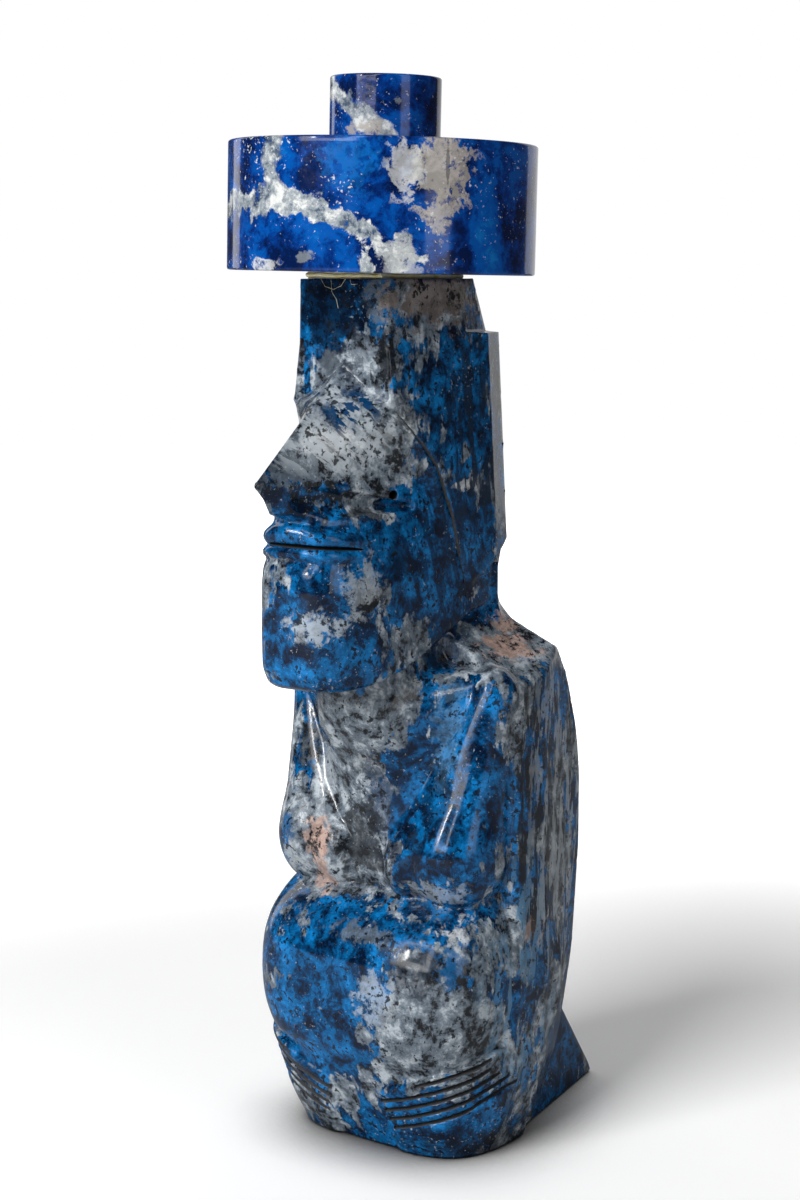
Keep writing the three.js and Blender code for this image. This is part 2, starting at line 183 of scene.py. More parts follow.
# Head: level outlines from front to back, as [height, value] pairs
head = {
    "top": 296.0,
    "mouth": 211.8,
    "earProud": 1.4,
    "earBack": 18.6,     # depth at which the ear slab begins
    "earFoot": 193.0,
    "lipWidth": 18.6,
    "lipReach": 4.1,
    "lips": ((3.7, 4.1, 2.0, -2.2), (-2.4, 2.7, 2.3, -1.0)),    # rise, thickness, depth sunk, drop at the ends
}
noseHollows = {
    "front": [(9.5, -50, 227.3), (5, 7, 6.0)],
    "middle": [(14, -37, 225.5), (5, 7, 4.4)],
    "nostril": [(19.5, -14, 222.6), (3, 5, 1.7)],
    "slopeFront": [(12.5, -53, 221), (6.5, 8.5, 5)],
    "slopeBack": [(20, -38, 220), (5, 8.5, 3.8)],
}
headColumns = {
    "frontLine": [
        [150, -42], [164, -44.5], [166, -47.5], [171, -49.2], [180, -49.6], [198, -49.4], [204, -48.8],
        [207, -46.8], [220, -48], [222.5, -56.5], [227.5, -59.5], [232, -64], [268, -20.6], [296, -20.6],
    ],
    "cheekWidth": [
        [150, 10], [164, 11], [172, 12.5], [205, 12.5], [222, 11], [232, 6.5], [244, 6], [256, 5], [261, 4],
        [268, 0.4], [296, 0.4],
    ],
    "cheekDepth": [
        [150, -42], [164, -44.5], [166, -47.4], [171, -49], [180, -49.4], [198, -49.2], [204, -48.4],
        [207, -46], [221, -44.5], [232, -48], [244, -39], [256, -31.4], [261, -25.6], [268, -20.6],
        [296, -20.6],
    ],
    "wingWidth": [
        [150, 18], [164, 19], [172, 20.2], [198, 20.2], [211.8, 19.2], [222, 17.5], [232, 13], [244, 14],
        [256, 19.6], [261, 10], [268, 0.8], [271, 0.8], [274, 10.5], [296, 10.5],
    ],
    "wingDepth": [
        [150, -30], [164, -31], [172, -32], [198, -31.5], [206, -30.5], [211.8, -30], [222, -30], [232, -30.5],
        [244, -24.2], [256, -20.9], [261, -20.6], [296, -20.6],
    ],
    "seamWidth": [
        [150, 21], [164, 21.6], [184, 22.4], [206, 22.6], [222, 22.8], [235, 23], [244, 22.4], [256, 20.4],
        [268, 19.2], [275, 18.4], [296, 18.4],
    ],
    "seamDepth": [
        [150, 0], [164, 4], [184, 19], [196, 18.6], [206, 12.3], [219, 8.3], [223, 6.1], [235, 0], [244, -8.6],
        [256, -20.6], [262, -20.2], [296, -19.3],
    ],
    "sideWidth": [
        [164, 22.2], [196, 23.2], [206, 23.5], [235, 23.8], [244, 23.2], [256, 21.2], [275, 19], [296, 18.9],
    ],
    "sideStep": [[164, 0.3], [244, 0.5], [256, 0.6], [266, 2.4], [296, 2.4]],
    "rearWidth": [[164, 22.5], [206, 24], [278, 24], [278.6, 22.2], [296, 20.2]],
    "rearDepth": [[164, 30], [206, 33], [228, 31], [278, 27], [278.6, 17], [296, 14]],
    "backWidth": [[164, 19.5], [206, 20.5], [278, 20], [278.6, 18.2], [296, 17.2]],
    "backDepth": [[164, 37], [187, 39], [206, 44], [278, 39], [278.6, 34], [296, 28]],
}
softFace = [[204, 0.48], [222, 0.35], [231, 0.05], [240, 0.0]]
jawLine = [[-38, 164], [-30, 164.8], [-18, 168], [-6.5, 171.8], [8.8, 179], [21, 184.7], [38, 187], [60, 189]]


def headOutline(z):
    soft = np.interp(z, [235, 250], [1.6, 0.5])
    soften = {"frontLine": 0.4, "rearWidth": 0.1, "rearDepth": 0.1, "backWidth": 0.1, "backDepth": 0.1}
    read = {name: along(pairs, z, soften.get(name, soft)) for name, pairs in headColumns.items()}
    zero = np.zeros(len(z))
    front, cheek = (zero, read["frontLine"]), (read["cheekWidth"], read["cheekDepth"])
    wing, seam = (read["wingWidth"], read["wingDepth"]), (read["seamWidth"], read["seamDepth"])
    share = along(softFace, z, 2.0)
    return [
        front,
        *rounded(front, cheek, wing, share),
        *rounded(cheek, wing, seam, share),
        seam,
        (read["sideWidth"], read["seamDepth"] + read["sideStep"]),
        (read["rearWidth"], read["rearDepth"]),
        (read["backWidth"], read["backDepth"]),
        (zero, read["backDepth"]),
    ]


def headField(p):
    x, y, z = mirrored(p)
    skin = outlineField(p, headOutline(z))
    body = np.maximum(skin, z - head["top"])
    # lips follow the face, as flat ellipses that thin out towards the corners
    for rise, thick, sunk, drop in head["lips"]:
        fade = np.sqrt(np.clip(1 - (x / 18.8) ** 5, 0.03, 1))
        reach = head["lipReach"] * (0.45 + 0.55 * fade)
        middle = head["mouth"] + rise + drop * (x / 18) ** 2
        lip = np.sqrt(((skin + sunk) / reach) ** 2 + ((z - middle) / (thick * fade)) ** 2)
        lip = np.maximum((lip - 1) * thick * fade, x - head["lipWidth"])
        body = smoothMin(body, lip, 0.7)
    # the hollow under each wing of the nose, wide in front and running back to the nostril
    front, middle, nostrilEnd, slopeFront, slopeBack = noseHollows.values()
    scoop = np.minimum(limbField(p, front, middle, 5), limbField(p, middle, nostrilEnd, 5))
    body = smoothMax(body, -scoop, 0.8)
    body = smoothMax(body, -limbField(p, slopeFront, slopeBack, 5), 2.5)
    # the ear slab ends in a diagonal, and the jaw's corner below it lies deeper
    behind = y - head["earBack"]
    diagonal = (head["earFoot"] + behind * 0.57 - z) * 0.87
    inset = head["earProud"] * np.clip(behind / 12, 0, 1)
    body = np.minimum(np.maximum(body, diagonal), body + inset)
    under = np.interp(y, *zip(*jawLine))
    return smoothMax(body, (under - z) * 0.92, 0.8 + 2.2 * np.clip((-y - 20) / 15, 0, 1))


# Torso: outlines, lobes and the rounded belly
torso = {
    "blockOuter": [[0, 38.5], [12, 43], [30, 47.5], [62, 49], [100, 47], [140, 46], [185, 45.7]],
    "blockRear": [[0, 30], [12, 33], [30, 37], [62, 40], [100, 40.5], [140, 40.5], [172, 39.5], [185, 39.5]],
    "blockBack": [
        [0, 50], [30, 54], [62, 57.5], [100, 60.5], [125, 60.5], [140, 58.5], [160, 53], [172, 46.5], [185, 41],
    ],
    "blockFront": [[0, 10], [42, 7], [82, 13], [185, 13]],
    "blockSide": [[0, 25], [62, 30], [185, 31]],
    "neckFront": [[120, -4], [138, -12], [143, -17], [150, -21], [160, -22.5], [200, -22]],
    "neckWidth": [[120, 19], [138, 18], [143, 17], [150, 16.5], [200, 16.5]],
    "bellyWidth": [
        [0, 25], [3, 28], [8, 33], [14, 36.5], [25, 40], [33, 42], [44, 46.5], [54, 48], [66, 48], [74, 46.8],
        [81, 44.8], [88, 42], [93, 38], [100, 30],
    ],
    "bellyFront": [
        [0, -7], [3, -9], [8, -11.5], [14, -14], [25, -17.5], [33, -20], [44, -23.5], [54, -24.5], [66, -24],
        [74, -22.5], [81, -18.5], [86, -12], [93, -3], [100, 6],
    ],
    "bellyMiddle": 22.0,
    "bellySquare": 3.8,
}
chest = {
    "lowInner": [(14, 3.6, 101), (8.5, 13.8, 13)],
    "lowOuter": [(30, 6.5, 104.5), (13.5, 17.3, 18)],
    "top": [(39, 12, 159), (6, 6.5, 7.5)],
    "plateTop": [(0, 12, 140), (31, 18.5, 14)],
    "plateLow": [(0, 12.5, 98), (36, 19.5, 16)],
    "neckSide": [(10, 6, 150), (12, 19, 16)],
    "shoulder": [(35, 15, 158), (8, 9, 10)],
}
hand = {
    "proud": 1.6,        # how far the hands stand out of the foot of the belly
    "tip": 9.0,          # where the fingertips end beside the middle
    "middle": 25.0,
    "square": 3.5,
    "top": [[8, 24], [22, 28.5], [34, 33.5], [46, 38], [60, 42]],
}
tailPlanes = hullPlanes([
    (x * side, y, z) for side in (1, -1) for x, y, z in (
        (30, 50, 0), (21, 100, 0), (20, 100, 3), (30, 50, 59), (34, 40, 0), (34, 40, 59))
])
fingers = {
    "tips": (23.4, 19.2, 15.6, 12, 8.4),
    "outers": (36.6, 33, 29.5, 26, 22.5),
    "soft": 0.7,         # depth of the rounded valley beside each saw cut
    "valley": 1.3,
    "kerf": 1.7,
    "depth": 2.4,
    "ends": ((27, 50), (11, 50), (12, 54), (13, 58), (14, 62)),
}


def fingerReach(x, y):
    # the way along a finger, round the corner of the hand
    return x + np.clip(y + 4, 0, 40) * 0.8


def grooveHeight(i, reach):
    tip, outer = fingers["tips"][i], fingers["outers"][i]
    rise = outer - tip
    heights = [tip, tip + 0.28 * rise, tip + 0.6 * rise, outer, outer + 4]
    return np.interp(reach, [9, 22, 34, 46, 60], heights)


def bellyField(p, read, inset):
    x, y, z = mirrored(p)
    square, middle = torso["bellySquare"], torso["bellyMiddle"]
    width = read["bellyWidth"] - inset
    depth = middle - read["bellyFront"] - inset
    ratio = (x / width) ** square + (np.abs(y - middle) / depth) ** square
    belly = (ratio ** (1 / square) - 1) * np.minimum(width, depth)
    return np.maximum(np.maximum(belly, y - 40), z - 97)


def handField(p, read):
    # the hand wraps the foot of the belly, and its outline runs straight on into the arm
    x, y, z = mirrored(p)
    square, middle = hand["square"], hand["middle"]
    depth = middle - read["bellyFront"]
    ratio = (x / read["blockOuter"]) ** square + (np.abs(y - middle) / depth) ** square
    palm = np.maximum((ratio ** (1 / square) - 1) * depth, y - 30)
    reach = fingerReach(x, y)
    for i in range(1, len(fingers["tips"])):
        gap = z - grooveHeight(i, reach)
        valley = fingers["soft"] * np.exp(-(gap / fingers["valley"]) ** 2)
        palm = palm + valley * np.clip((70 - reach) / 12, 0, 1)
    top = z - np.interp(reach, *zip(*hand["top"]))
    return smoothMax(smoothMax(palm, top, 2.5), (hand["tip"] + 0.12 * (24 - z) - x) * 0.5, 3.0)


def torsoField(p):
    x, y, z = mirrored(p)
    zero = np.zeros(len(z))
    read = {name: along(pairs, z, 4.0) for name, pairs in torso.items() if isinstance(pairs, list)}
    block = outlineField(p, [
        (zero, read["blockFront"]),
        (read["blockOuter"] - 4, read["blockFront"]),
        (read["blockOuter"] - 1.2, read["blockFront"] + 1.2),
        (read["blockOuter"], read["blockFront"] + 4),
        (read["blockOuter"], read["blockSide"]),
        (read["blockRear"], read["blockBack"]),
        (zero, read["blockBack"]),
    ])
    inner = 184 + (y + 10) * 0.1625 - x * 0.583 - z
    outer = 177 + (y + 10) * 0.1875 - (x - 12) * 0.583 - z
    block = smoothMax(block, -np.maximum(inner, outer) * 0.85, 2.0)
    pad = smoothMin(
        limbField(p, chest["lowInner"], chest["lowOuter"]), limbField(p, chest["lowOuter"], chest["top"]), 5.0)
    pad = smoothMin(pad, limbField(p, chest["lowInner"], chest["top"]), 5.0)
    plate = limbField(p, chest["plateTop"], chest["plateLow"], 5)
    plate = smoothMin(plate, limbField(p, chest["neckSide"], chest["shoulder"], 5), 6.0)
    plate = smoothMin(plate, block, 1.5)
    neck = outlineField(p, [
        (zero, read["neckFront"]),
        (read["neckWidth"] * 0.5, read["neckFront"] + 1.2),
        (read["neckWidth"] * 0.85, read["neckFront"] + 6),
        (read["neckWidth"], read["neckFront"] + 15),
        (read["neckWidth"] + 1, zero + 12),
        (zero + 22.5, zero + 36),
        (zero + 19.5, zero + 40),
        (zero, zero + 40),
    ])
    neck = np.maximum(neck, z - 200)
    plate = smoothMin(plate, np.maximum(neck, 115 - z), 7.0)
    body = smoothMin(plate, pad, 1.6)
    foot = hand["proud"] * np.clip((38 - z) / 6, 0, 1)
    body = smoothMin(body, bellyField(p, read, foot), 1.2)
    body = smoothMin(body, handField(p, read), 0.8)
    return smoothMin(body, hullField(p, tailPlanes), 1.0)


# where torso and head overlap, how many points are worked out at once, and the worn edge round the underside
whole = {"headFrom": 145, "torsoTo": 205, "batch": 60000, "wornEdge": 1.8}


def figureField(p):
    field = np.empty(len(p))
    for start in range(0, len(p), whole["batch"]):
        part = p[start:start + whole["batch"]]
        z = part[:, 2]
        value = np.full(len(part), 1e3)
        low, high = z < whole["torsoTo"], z > whole["headFrom"]
        value[low] = torsoField(part[low])
        value[high] = np.minimum(value[high], headField(part[high]))
        field[start:start + len(part)] = smoothMax(value, -z, whole["wornEdge"])
    return field


# Turns the field into a quad mesh that keeps its creases: one corner in each cell the surface crosses
carving = {
    "cell": 1.15,
    "coarse": 4,         # fine cells in a coarse one
    "near": 2.2,         # coarse cells from the surface within which the fine ones are worked out
    "halvings": 5,
    "slope": 0.08,       # how far from a point its slope is measured
    "flat": 0.12,        # share of the strongest bend below which a direction counts as flat
    "stray": 0.55,       # how far a corner may lie from the middle of its crossings, in cells
    "low": (-53.3, -67.1, -2.3),
    "high": (53.3, 104.0, 299.0),
}


def sampleField():
    cell, step = carving["cell"], carving["coarse"]
    low = np.array(carving["low"])
    count = np.ceil((np.array(carving["high"]) - low) / (cell * step)).astype(int)
    big = [low[i] + (np.arange(count[i]) + 0.5) * cell * step for i in range(3)]
    centres = np.stack(np.meshgrid(*big, indexing="ij"), -1).reshape(-1, 3)
    rough = figureField(centres).reshape(count)
    fine = np.repeat(np.repeat(np.repeat(rough, step, 0), step, 1), step, 2)
    near = np.abs(fine) < cell * step * carving["near"]
    index = np.argwhere(near)
    values = np.where(fine > 0, 1e3, -1e3)
    values[near] = figureField(low + (index + 0.5) * cell)
    return values, low + 0.5 * cell


def carve():
    cell = carving["cell"]
    values, origin = sampleField()
    shape = np.array(values.shape)
    strides = np.array([shape[1] * shape[2], shape[2], 1])
    cells, points, normals, quads = [], [], [], []
    for axis in range(3):
        other = [(axis + 1) % 3, (axis + 2) % 3]
        first = [slice(None)] * 3
        second = [slice(None)] * 3
        first[axis], second[axis] = slice(0, -1), slice(1, None)
        a, b = values[tuple(first)], values[tuple(second)]
        crossing = np.argwhere((a < 0) != (b < 0))
        keep = (crossing[:, other[0]] > 0) & (crossing[:, other[1]] > 0)
        crossing = crossing[keep]
        va, vb = a[tuple(crossing.T)], b[tuple(crossing.T)]
        start = origin + crossing * cell
        ends = [np.zeros(len(start)), np.full(len(start), 1.0)]
        fa, fb = va.copy(), vb.copy()
        for _ in range(carving["halvings"]):
            share = np.clip(fa / (fa - fb), 0.1, 0.9)
            middle = ends[0] + (ends[1] - ends[0]) * share
            trial = start.copy()
            trial[:, axis] += middle * cell
            value = figureField(trial)
            same = (value < 0) == (fa < 0)
            ends[0] = np.where(same, middle, ends[0])
            fa = np.where(same, value, fa)
            ends[1] = np.where(same, ends[1], middle)
            fb = np.where(same, fb, value)
        spot = start.copy()
        spot[:, axis] += (ends[0] + ends[1]) * 0.5 * cell
        corner = crossing @ strides
        d1, d2 = strides[other[0]], strides[other[1]]
        ring = np.stack([corner - d1 - d2, corner - d2, corner, corner - d1], 1)
        quads.append(np.where((va < 0)[:, None], ring, ring[:, ::-1]))
        for k in range(4):
            cells.append(ring[:, k])
            points.append(spot)
    for k in range(0, len(points), 4):
        spot = points[k]
        shifts = np.array([(1, -1, -1), (-1, 1, -1), (-1, -1, 1), (1, 1, 1)]) * carving["slope"]
        gradient = sum(figureField(spot + shift)[:, None] * shift for shift in shifts)
        gradient /= np.linalg.norm(gradient, axis=1)[:, None] + 1e-12
        normals += [gradient] * 4
    cells, points, normals = np.concatenate(cells), np.concatenate(points), np.concatenate(normals)
    names, owner = np.unique(cells, return_inverse=True)
    number = len(names)
    tally = np.bincount(owner, minlength=number)
    total = lambda value: np.bincount(owner, weights=value, minlength=number)
    middle = np.stack([total(points[:, i]) / tally for i in range(3)], 1)
    offset = ((points - middle[owner]) * normals).sum(1)
    matrix = np.empty((number, 3, 3))
    target = np.empty((number, 3))
    for i in range(3):
        target[:, i] = total(normals[:, i] * offset)
        for j in range(3):
            matrix[:, i, j] = total(normals[:, i] * normals[:, j])
    root, frameAxes = np.linalg.eigh(matrix)
    inverse = np.where(root > carving["flat"] * root[:, 2:3], 1 / np.maximum(root, tiny), 0)
    local = np.einsum("nji,nj->ni", frameAxes, target) * inverse
    stray = cell * carving["stray"]
    corners = middle + np.clip(np.einsum("nij,nj->ni", frameAxes, local), -stray, stray)
    corners[:, 2] = np.maximum(corners[:, 2], 0)
    faces = np.searchsorted(names, np.concatenate(quads))
    return corners, faces


def meshPiece(name, corners, faces):
    mesh = bpy.data.meshes.new(name)
    mesh.from_pydata((corners * mm).tolist(), [], faces.tolist())
    mesh.validate()
    mesh.update()
    return placeObject(name, mesh)


def surfaceSpot(centre, angle, z, reach=90.0):
    # from a point inside the stone, the last crossing of the surface towards a level direction
    direction = np.array([math.sin(angle), -math.cos(angle), 0.0])
    steps = np.linspace(reach, 0, 181)
    line = np.array([*centre, z]) + steps[:, None] * direction
    solid = figureField(line) < 0
    first = int(solid.argmax())
    return line[first], direction


def bladeSolid(name, stations):
    # stations are (inside point, outside point, thickness inside, thickness outside)
    mesh = bmesh.new()
    rings = []
    for inside, outside, thin, thick in stations:
        ring = [(inside, -thin), (outside, -thick), (outside, thick), (inside, thin)]
        rings.append([
            mesh.verts.new((spot[0] * mm, spot[1] * mm, (spot[2] + lift / 2) * mm)) for spot, lift in ring])
    for a, b in zip(rings[:-1], rings[1:]):
        for k in range(4):
            mesh.faces.new((a[k], a[(k + 1) % 4], b[(k + 1) % 4], b[k]))
    mesh.faces.new(rings[0][::-1])
    mesh.faces.new(rings[-1])
    bmesh.ops.recalc_face_normals(mesh, faces=mesh.faces)
    return placeObject(name, meshData(name, mesh))


mouth = {
    "kerf": 1.5,
    "depth": 4.5,
    "from": -0.36,       # angles round the mouth, towards the far side and the near side
    "to": 0.93,
}


def mouthBlade():
    stations = []
    middle, half = (mouth["from"] + mouth["to"]) / 2, (mouth["to"] - mouth["from"]) / 2
    steps = 14
    for k in range(-steps, steps + 1):
        share = k / steps
        angle = middle + half * share
        spot, direction = surfaceSpot((0.0, -18.0), angle, head["mouth"] - 1.85 * angle ** 2)
        thick = mouth["kerf"] * math.sqrt(max(0.03, 1 - share ** 4))
        depth = mouth["depth"] * (1 - 0.6 * share ** 4)
        stations.append((spot - direction * depth, spot + direction * 4, thick * 0.75, thick))
    return bladeSolid("mouth_cut", stations)


# the line where the face was cut into the side of the block, as depth and height, from the brow to the jaw
seam = {
    "line": np.array([
        (-18.6, 254.0), (-8.4, 244.0), (0.2, 235.0), (6.1, 223.0), (8.5, 219.0), (12.5, 206.0), (16.8, 196.0),
        (18.5, 187.0)]),
    "width": 0.75,
    "depth": 0.8,
}


def seamBlade(side):
    stations = []
    line = seam["line"]
    run = np.concatenate([[0], np.cumsum(np.linalg.norm(np.diff(line, axis=0), axis=1))])

    def lineAt(share):
        return np.array([np.interp(min(max(share, 0), 1) * run[-1], run, line[:, k]) for k in (0, 1)])

    for share in np.linspace(0, 1, 25):
        y, z = lineAt(share)
        course = lineAt(share + 0.05) - lineAt(share - 0.05)
        course = course / np.linalg.norm(course)
        spot, direction = surfaceSpot((0.0, y), math.pi / 2, z)
        spot, direction = spot * (side, 1, 1), direction * (side, 1, 1)
        fade = min(1.0, 5 * share + 0.15, 5 * (1 - share) + 0.15)
        thick = seam["width"] * fade / max(abs(course[0]), 0.3)
        inside = spot - direction * seam["depth"] * fade
        stations.append((inside, spot + direction * 3, thick * 0.3, thick * 1.6))
    return bladeSolid("seam_cut", stations)


def fingerBlade(i, side):
    stations = []
    first, last = fingers["ends"][i]
    steps = 16
    for k in range(steps + 1):
        share = k / steps
        reach = first + (last - first) * share
        # the angle that meets the outline at this reach, walked outwards in small turns
        low, high = 0.0, 2.2
        for _ in range(22):
            angle = (low + high) / 2
            spot, direction = surfaceSpot((0.0, 22.0), angle, grooveHeight(i, reach))
            if fingerReach(abs(spot[0]), spot[1]) < reach:
                low = angle
            else:
                high = angle
        fade = min(1.0, 6 * share + 0.25, 3.5 * (1 - share) + 0.12)
        spot, direction = spot * (side, 1, 1), direction * (side, 1, 1)
        inside = spot - direction * fingers["depth"] * fade
        stations.append((inside, spot + direction * 3, fingers["kerf"] * 0.6, fingers["kerf"] * 1.25))
    return bladeSolid("finger_cut", stations)


nostril = {
    "radius": 1.55,
    "depth": 5.0,
    "spot": (16.2, -14.7, 226.8),
    "turn": 48.0,        # degrees from the front to the side
    "drill": 30.0,       # length of the drill, half of it outside the hole's foot
}


def nostrilDrill(side):
    turn = math.radians(nostril["turn"])
    inward = Vector((-math.sin(turn) * side, math.cos(turn), 0.05))
    spot = Vector((nostril["spot"][0] * side, *nostril["spot"][1:]))
    spot += inward * (nostril["depth"] - nostril["drill"] / 2)
    mesh = bmesh.new()
    place = Matrix.Translation(spot * mm) @ inward.to_track_quat("Z", "Y").to_matrix().to_4x4()
    bmesh.ops.create_cone(
        mesh, cap_ends=True, segments=20, radius1=nostril["radius"] * mm, radius2=nostril["radius"] * mm,
        depth=nostril["drill"] * mm, matrix=place)
    return placeObject("nostril_drill", meshData("nostril_drill", mesh))


def cutWith(piece, blades, finish):
    # saws the blades out of a piece; the walls of the cuts take the finish
    for blade in blades:
        blade.data.materials.append(finish)
        cut = piece.modifiers.new("saw", "BOOLEAN")
        cut.operation = "DIFFERENCE"
        cut.solver = "MANIFOLD"
        cut.material_mode = "TRANSFER"
        cut.object = blade
    depsgraph = bpy.context.evaluated_depsgraph_get()
    cutMesh = bpy.data.meshes.new_from_object(piece.evaluated_get(depsgraph))
    piece.modifiers.clear()
    piece.data = cutMesh
    for blade in blades:
        bpy.data.objects.remove(blade)


corners, faces = carve()
report(f"carved {len(faces)} faces")
figure = meshPiece("moai_figure", corners, faces)


# Node helpers, for geometry and for shaders
def plug(tree, value, socket):
    if isinstance(value, bpy.types.NodeSocket):
        tree.links.new(value, socket)
    else:
        socket.default_value = value


def wire(tree, kind, settings=None, inputs=None):
    node = tree.nodes.new(kind)
    for name, value in (settings or {}).items():
        setattr(node, name, value)
    for name, value in (inputs or {}).items():
        plug(tree, value, node.inputs[name])
    return node


def calc(tree, operation, a, b=0.0, clamp=False):
    return wire(tree, "ShaderNodeMath", {"operation": operation, "use_clamp": clamp}, {0: a, 1: b}).outputs[0]


def plus(tree, a, b):
    return calc(tree, "ADD", a, b)


def minus(tree, a, b):
    return calc(tree, "SUBTRACT", a, b)


def times(tree, a, b, clamp=False):
    return calc(tree, "MULTIPLY", a, b, clamp)


def shift(tree, operation, a, b=(0, 0, 0)):
    node = wire(tree, "ShaderNodeVectorMath", {"operation": operation}, {0: a})
    if operation != "LENGTH":
        plug(tree, b, node.inputs["Scale" if operation == "SCALE" else 1])
    return node.outputs["Value" if operation in ("LENGTH", "DOT_PRODUCT") else "Vector"]


def ramp(tree, value, low, high):
    return wire(tree, "ShaderNodeMapRange", {"interpolation_type": "SMOOTHSTEP"}, {
        "Value": value, "From Min": low, "From Max": high}).outputs[0]


def noiseAt(tree, place, scale, detail, **more):
    return wire(tree, "ShaderNodeTexNoise", {}, {
        "Vector": place, "Scale": scale, "Detail": detail, **more}).outputs


def centred(tree, colour):
    # a noise colour as a push that goes both ways
    return shift(tree, "SUBTRACT", colour, (0.5, 0.5, 0.5))


def useGroup(tree, group, place, **values):
    return wire(tree, "ShaderNodeGroup", {"node_tree": group}, {"Place": place, **values}).outputs


def newGroup(name, kind, takes, gives):
    group = bpy.data.node_groups.new(name, kind)
    for direction, sockets in (("INPUT", takes), ("OUTPUT", gives)):
        for label, socketKind, *value in sockets:
            socket = group.interface.new_socket(label, in_out=direction, socket_type="NodeSocket" + socketKind)
            if value:
                socket.default_value = value[0]
    return group, group.nodes.new("NodeGroupInput").outputs, group.nodes.new("NodeGroupOutput").inputs


def dressWith(name, group, values, start=None):
    # runs a group on a new object, turns the result into its mesh and takes the modifier off again
    piece = placeObject(name, start or bpy.data.meshes.new(name))
    modifier = piece.modifiers.new("build", "NODES")
    modifier.node_group = group
    for item in group.interface.items_tree:
        if item.item_type == "SOCKET" and item.in_out == "INPUT" and item.name in values:
            modifier[item.identifier] = values[item.name]
    if "Bevel" in values:
        bevel = piece.modifiers.new("rim", "BEVEL")
        bevel.limit_method, bevel.angle_limit = "ANGLE", math.radians(50)
        bevel.width, bevel.segments = values["Bevel"], 4
    made = bpy.data.meshes.new_from_object(piece.evaluated_get(bpy.context.evaluated_depsgraph_get()))
    piece.modifiers.clear()
    piece.data = made
    made.name = name
    return piece


# Colours are given as they look, 0 to 255
def tint(red, green, blue):
    linear = [((v / 255 + 0.055) / 1.055) ** 2.4 if v > 10 else v / 3294.6 for v in (red, green, blue)]
    return (*linear, 1)


# Stone effects that both stones use, all in millimetres
def makeStoneField():
    # cloudy variation, pushed about by a slower cloud, from 0 to 1
    tree, takes, gives = newGroup("stoneField", "ShaderNodeTree", [
        ("Place", "Vector"), ("Size", "Float", 20.0), ("Detail", "Float", 8.0), ("Warp", "Float", 6.0),
        ("Rough", "Float", 0.62)], [("Value", "Float")])
    frequency = calc(tree, "DIVIDE", 1.0, takes["Size"])
    slow = shift(tree, "SCALE", takes["Place"], times(tree, frequency, 0.6))
    push = centred(tree, noiseAt(tree, slow, 1.0, 3.0)["Color"])
    push = shift(tree, "SCALE", push, times(tree, takes["Warp"], 2.0))
    near = shift(tree, "SCALE", shift(tree, "ADD", takes["Place"], push), frequency)
    cloud = noiseAt(tree, near, 1.0, takes["Detail"], Roughness=takes["Rough"])[0]
    tree.links.new(ramp(tree, cloud, 0.25, 0.75), gives["Value"])
    return tree


def ragged(tree, value, takes, detail, warp):
    # a distance made uneven by the stone's cloud
    rough = useGroup(tree, stoneField, takes["Place"], Size=takes["Grain"], Detail=detail, Warp=warp)[0]
    return plus(tree, value, times(tree, minus(tree, rough, 0.5), takes["Ragged"]))


def makePlacedPatch():
    # a ragged patch round a place on the stone
    tree, takes, gives = newGroup("placedPatch", "ShaderNodeTree", [
        ("Place", "Vector"), ("Centre", "Vector"), ("Reach", "Vector", (10, 10, 10)), ("Ragged", "Float", 0.6),
        ("Grain", "Float", 8.0), ("Soft", "Float", 0.25)], [("Mask", "Float")])
    near = shift(tree, "DIVIDE", shift(tree, "SUBTRACT", takes["Place"], takes["Centre"]), takes["Reach"])
    far = ragged(tree, shift(tree, "LENGTH", near), takes, 6.0, 3.0)
    low, high = minus(tree, 1.0, takes["Soft"]), plus(tree, 1.0, takes["Soft"])
    share = calc(tree, "DIVIDE", minus(tree, high, far), minus(tree, high, low), True)
    tree.links.new(share, gives["Mask"])
    return tree


def makePlacedArch():
    # a pale sheet that arches round a place, seen end on
    tree, takes, gives = newGroup("placedArch", "ShaderNodeTree", [
        ("Place", "Vector"), ("Centre", "Vector"), ("Across", "Vector", (1, 0, 0)),
        ("ReachAcross", "Float", 20.0), ("ReachUp", "Float", 20.0), ("Thick", "Float", 0.4),
        ("Ragged", "Float", 0.3), ("Grain", "Float", 14.0)], [("Mask", "Float")])
    near = shift(tree, "SUBTRACT", takes["Place"], takes["Centre"])
    sideways = calc(tree, "DIVIDE", shift(tree, "DOT_PRODUCT", near, takes["Across"]), takes["ReachAcross"])
    upwards = calc(tree, "DIVIDE", shift(tree, "DOT_PRODUCT", near, (0, 0, 1)), takes["ReachUp"])
    far = plus(tree, times(tree, sideways, sideways), times(tree, upwards, upwards))
    far = ragged(tree, calc(tree, "SQRT", far), takes, 9.0, 4.0)
    half = times(tree, takes["Thick"], 0.5)
    away = calc(tree, "ABSOLUTE", minus(tree, far, plus(tree, half, 1.0)))
    share = minus(tree, 1.25, calc(tree, "DIVIDE", away, half))
    tree.links.new(times(tree, share, 3.0, True), gives["Mask"])
    return tree


def makePlacedSheet():
    # a sheet of pale mineral that cuts through the stone on a plane
    tree, takes, gives = newGroup("placedSheet", "ShaderNodeTree", [
        ("Place", "Vector"), ("Facing", "Vector", (0, 0, 1)), ("Offset", "Float", 0.0), ("Half", "Float", 3.0),
        ("Ragged", "Float", 5.0), ("Grain", "Float", 16.0)], [("Mask", "Float")])
    height = minus(tree, shift(tree, "DOT_PRODUCT", takes["Place"], takes["Facing"]), takes["Offset"])
    away = calc(tree, "ABSOLUTE", ragged(tree, height, takes, 9.0, 4.0))
    share = minus(tree, 1.35, calc(tree, "DIVIDE", away, takes["Half"]))
    tree.links.new(times(tree, share, 2.0, True), gives["Mask"])
    return tree


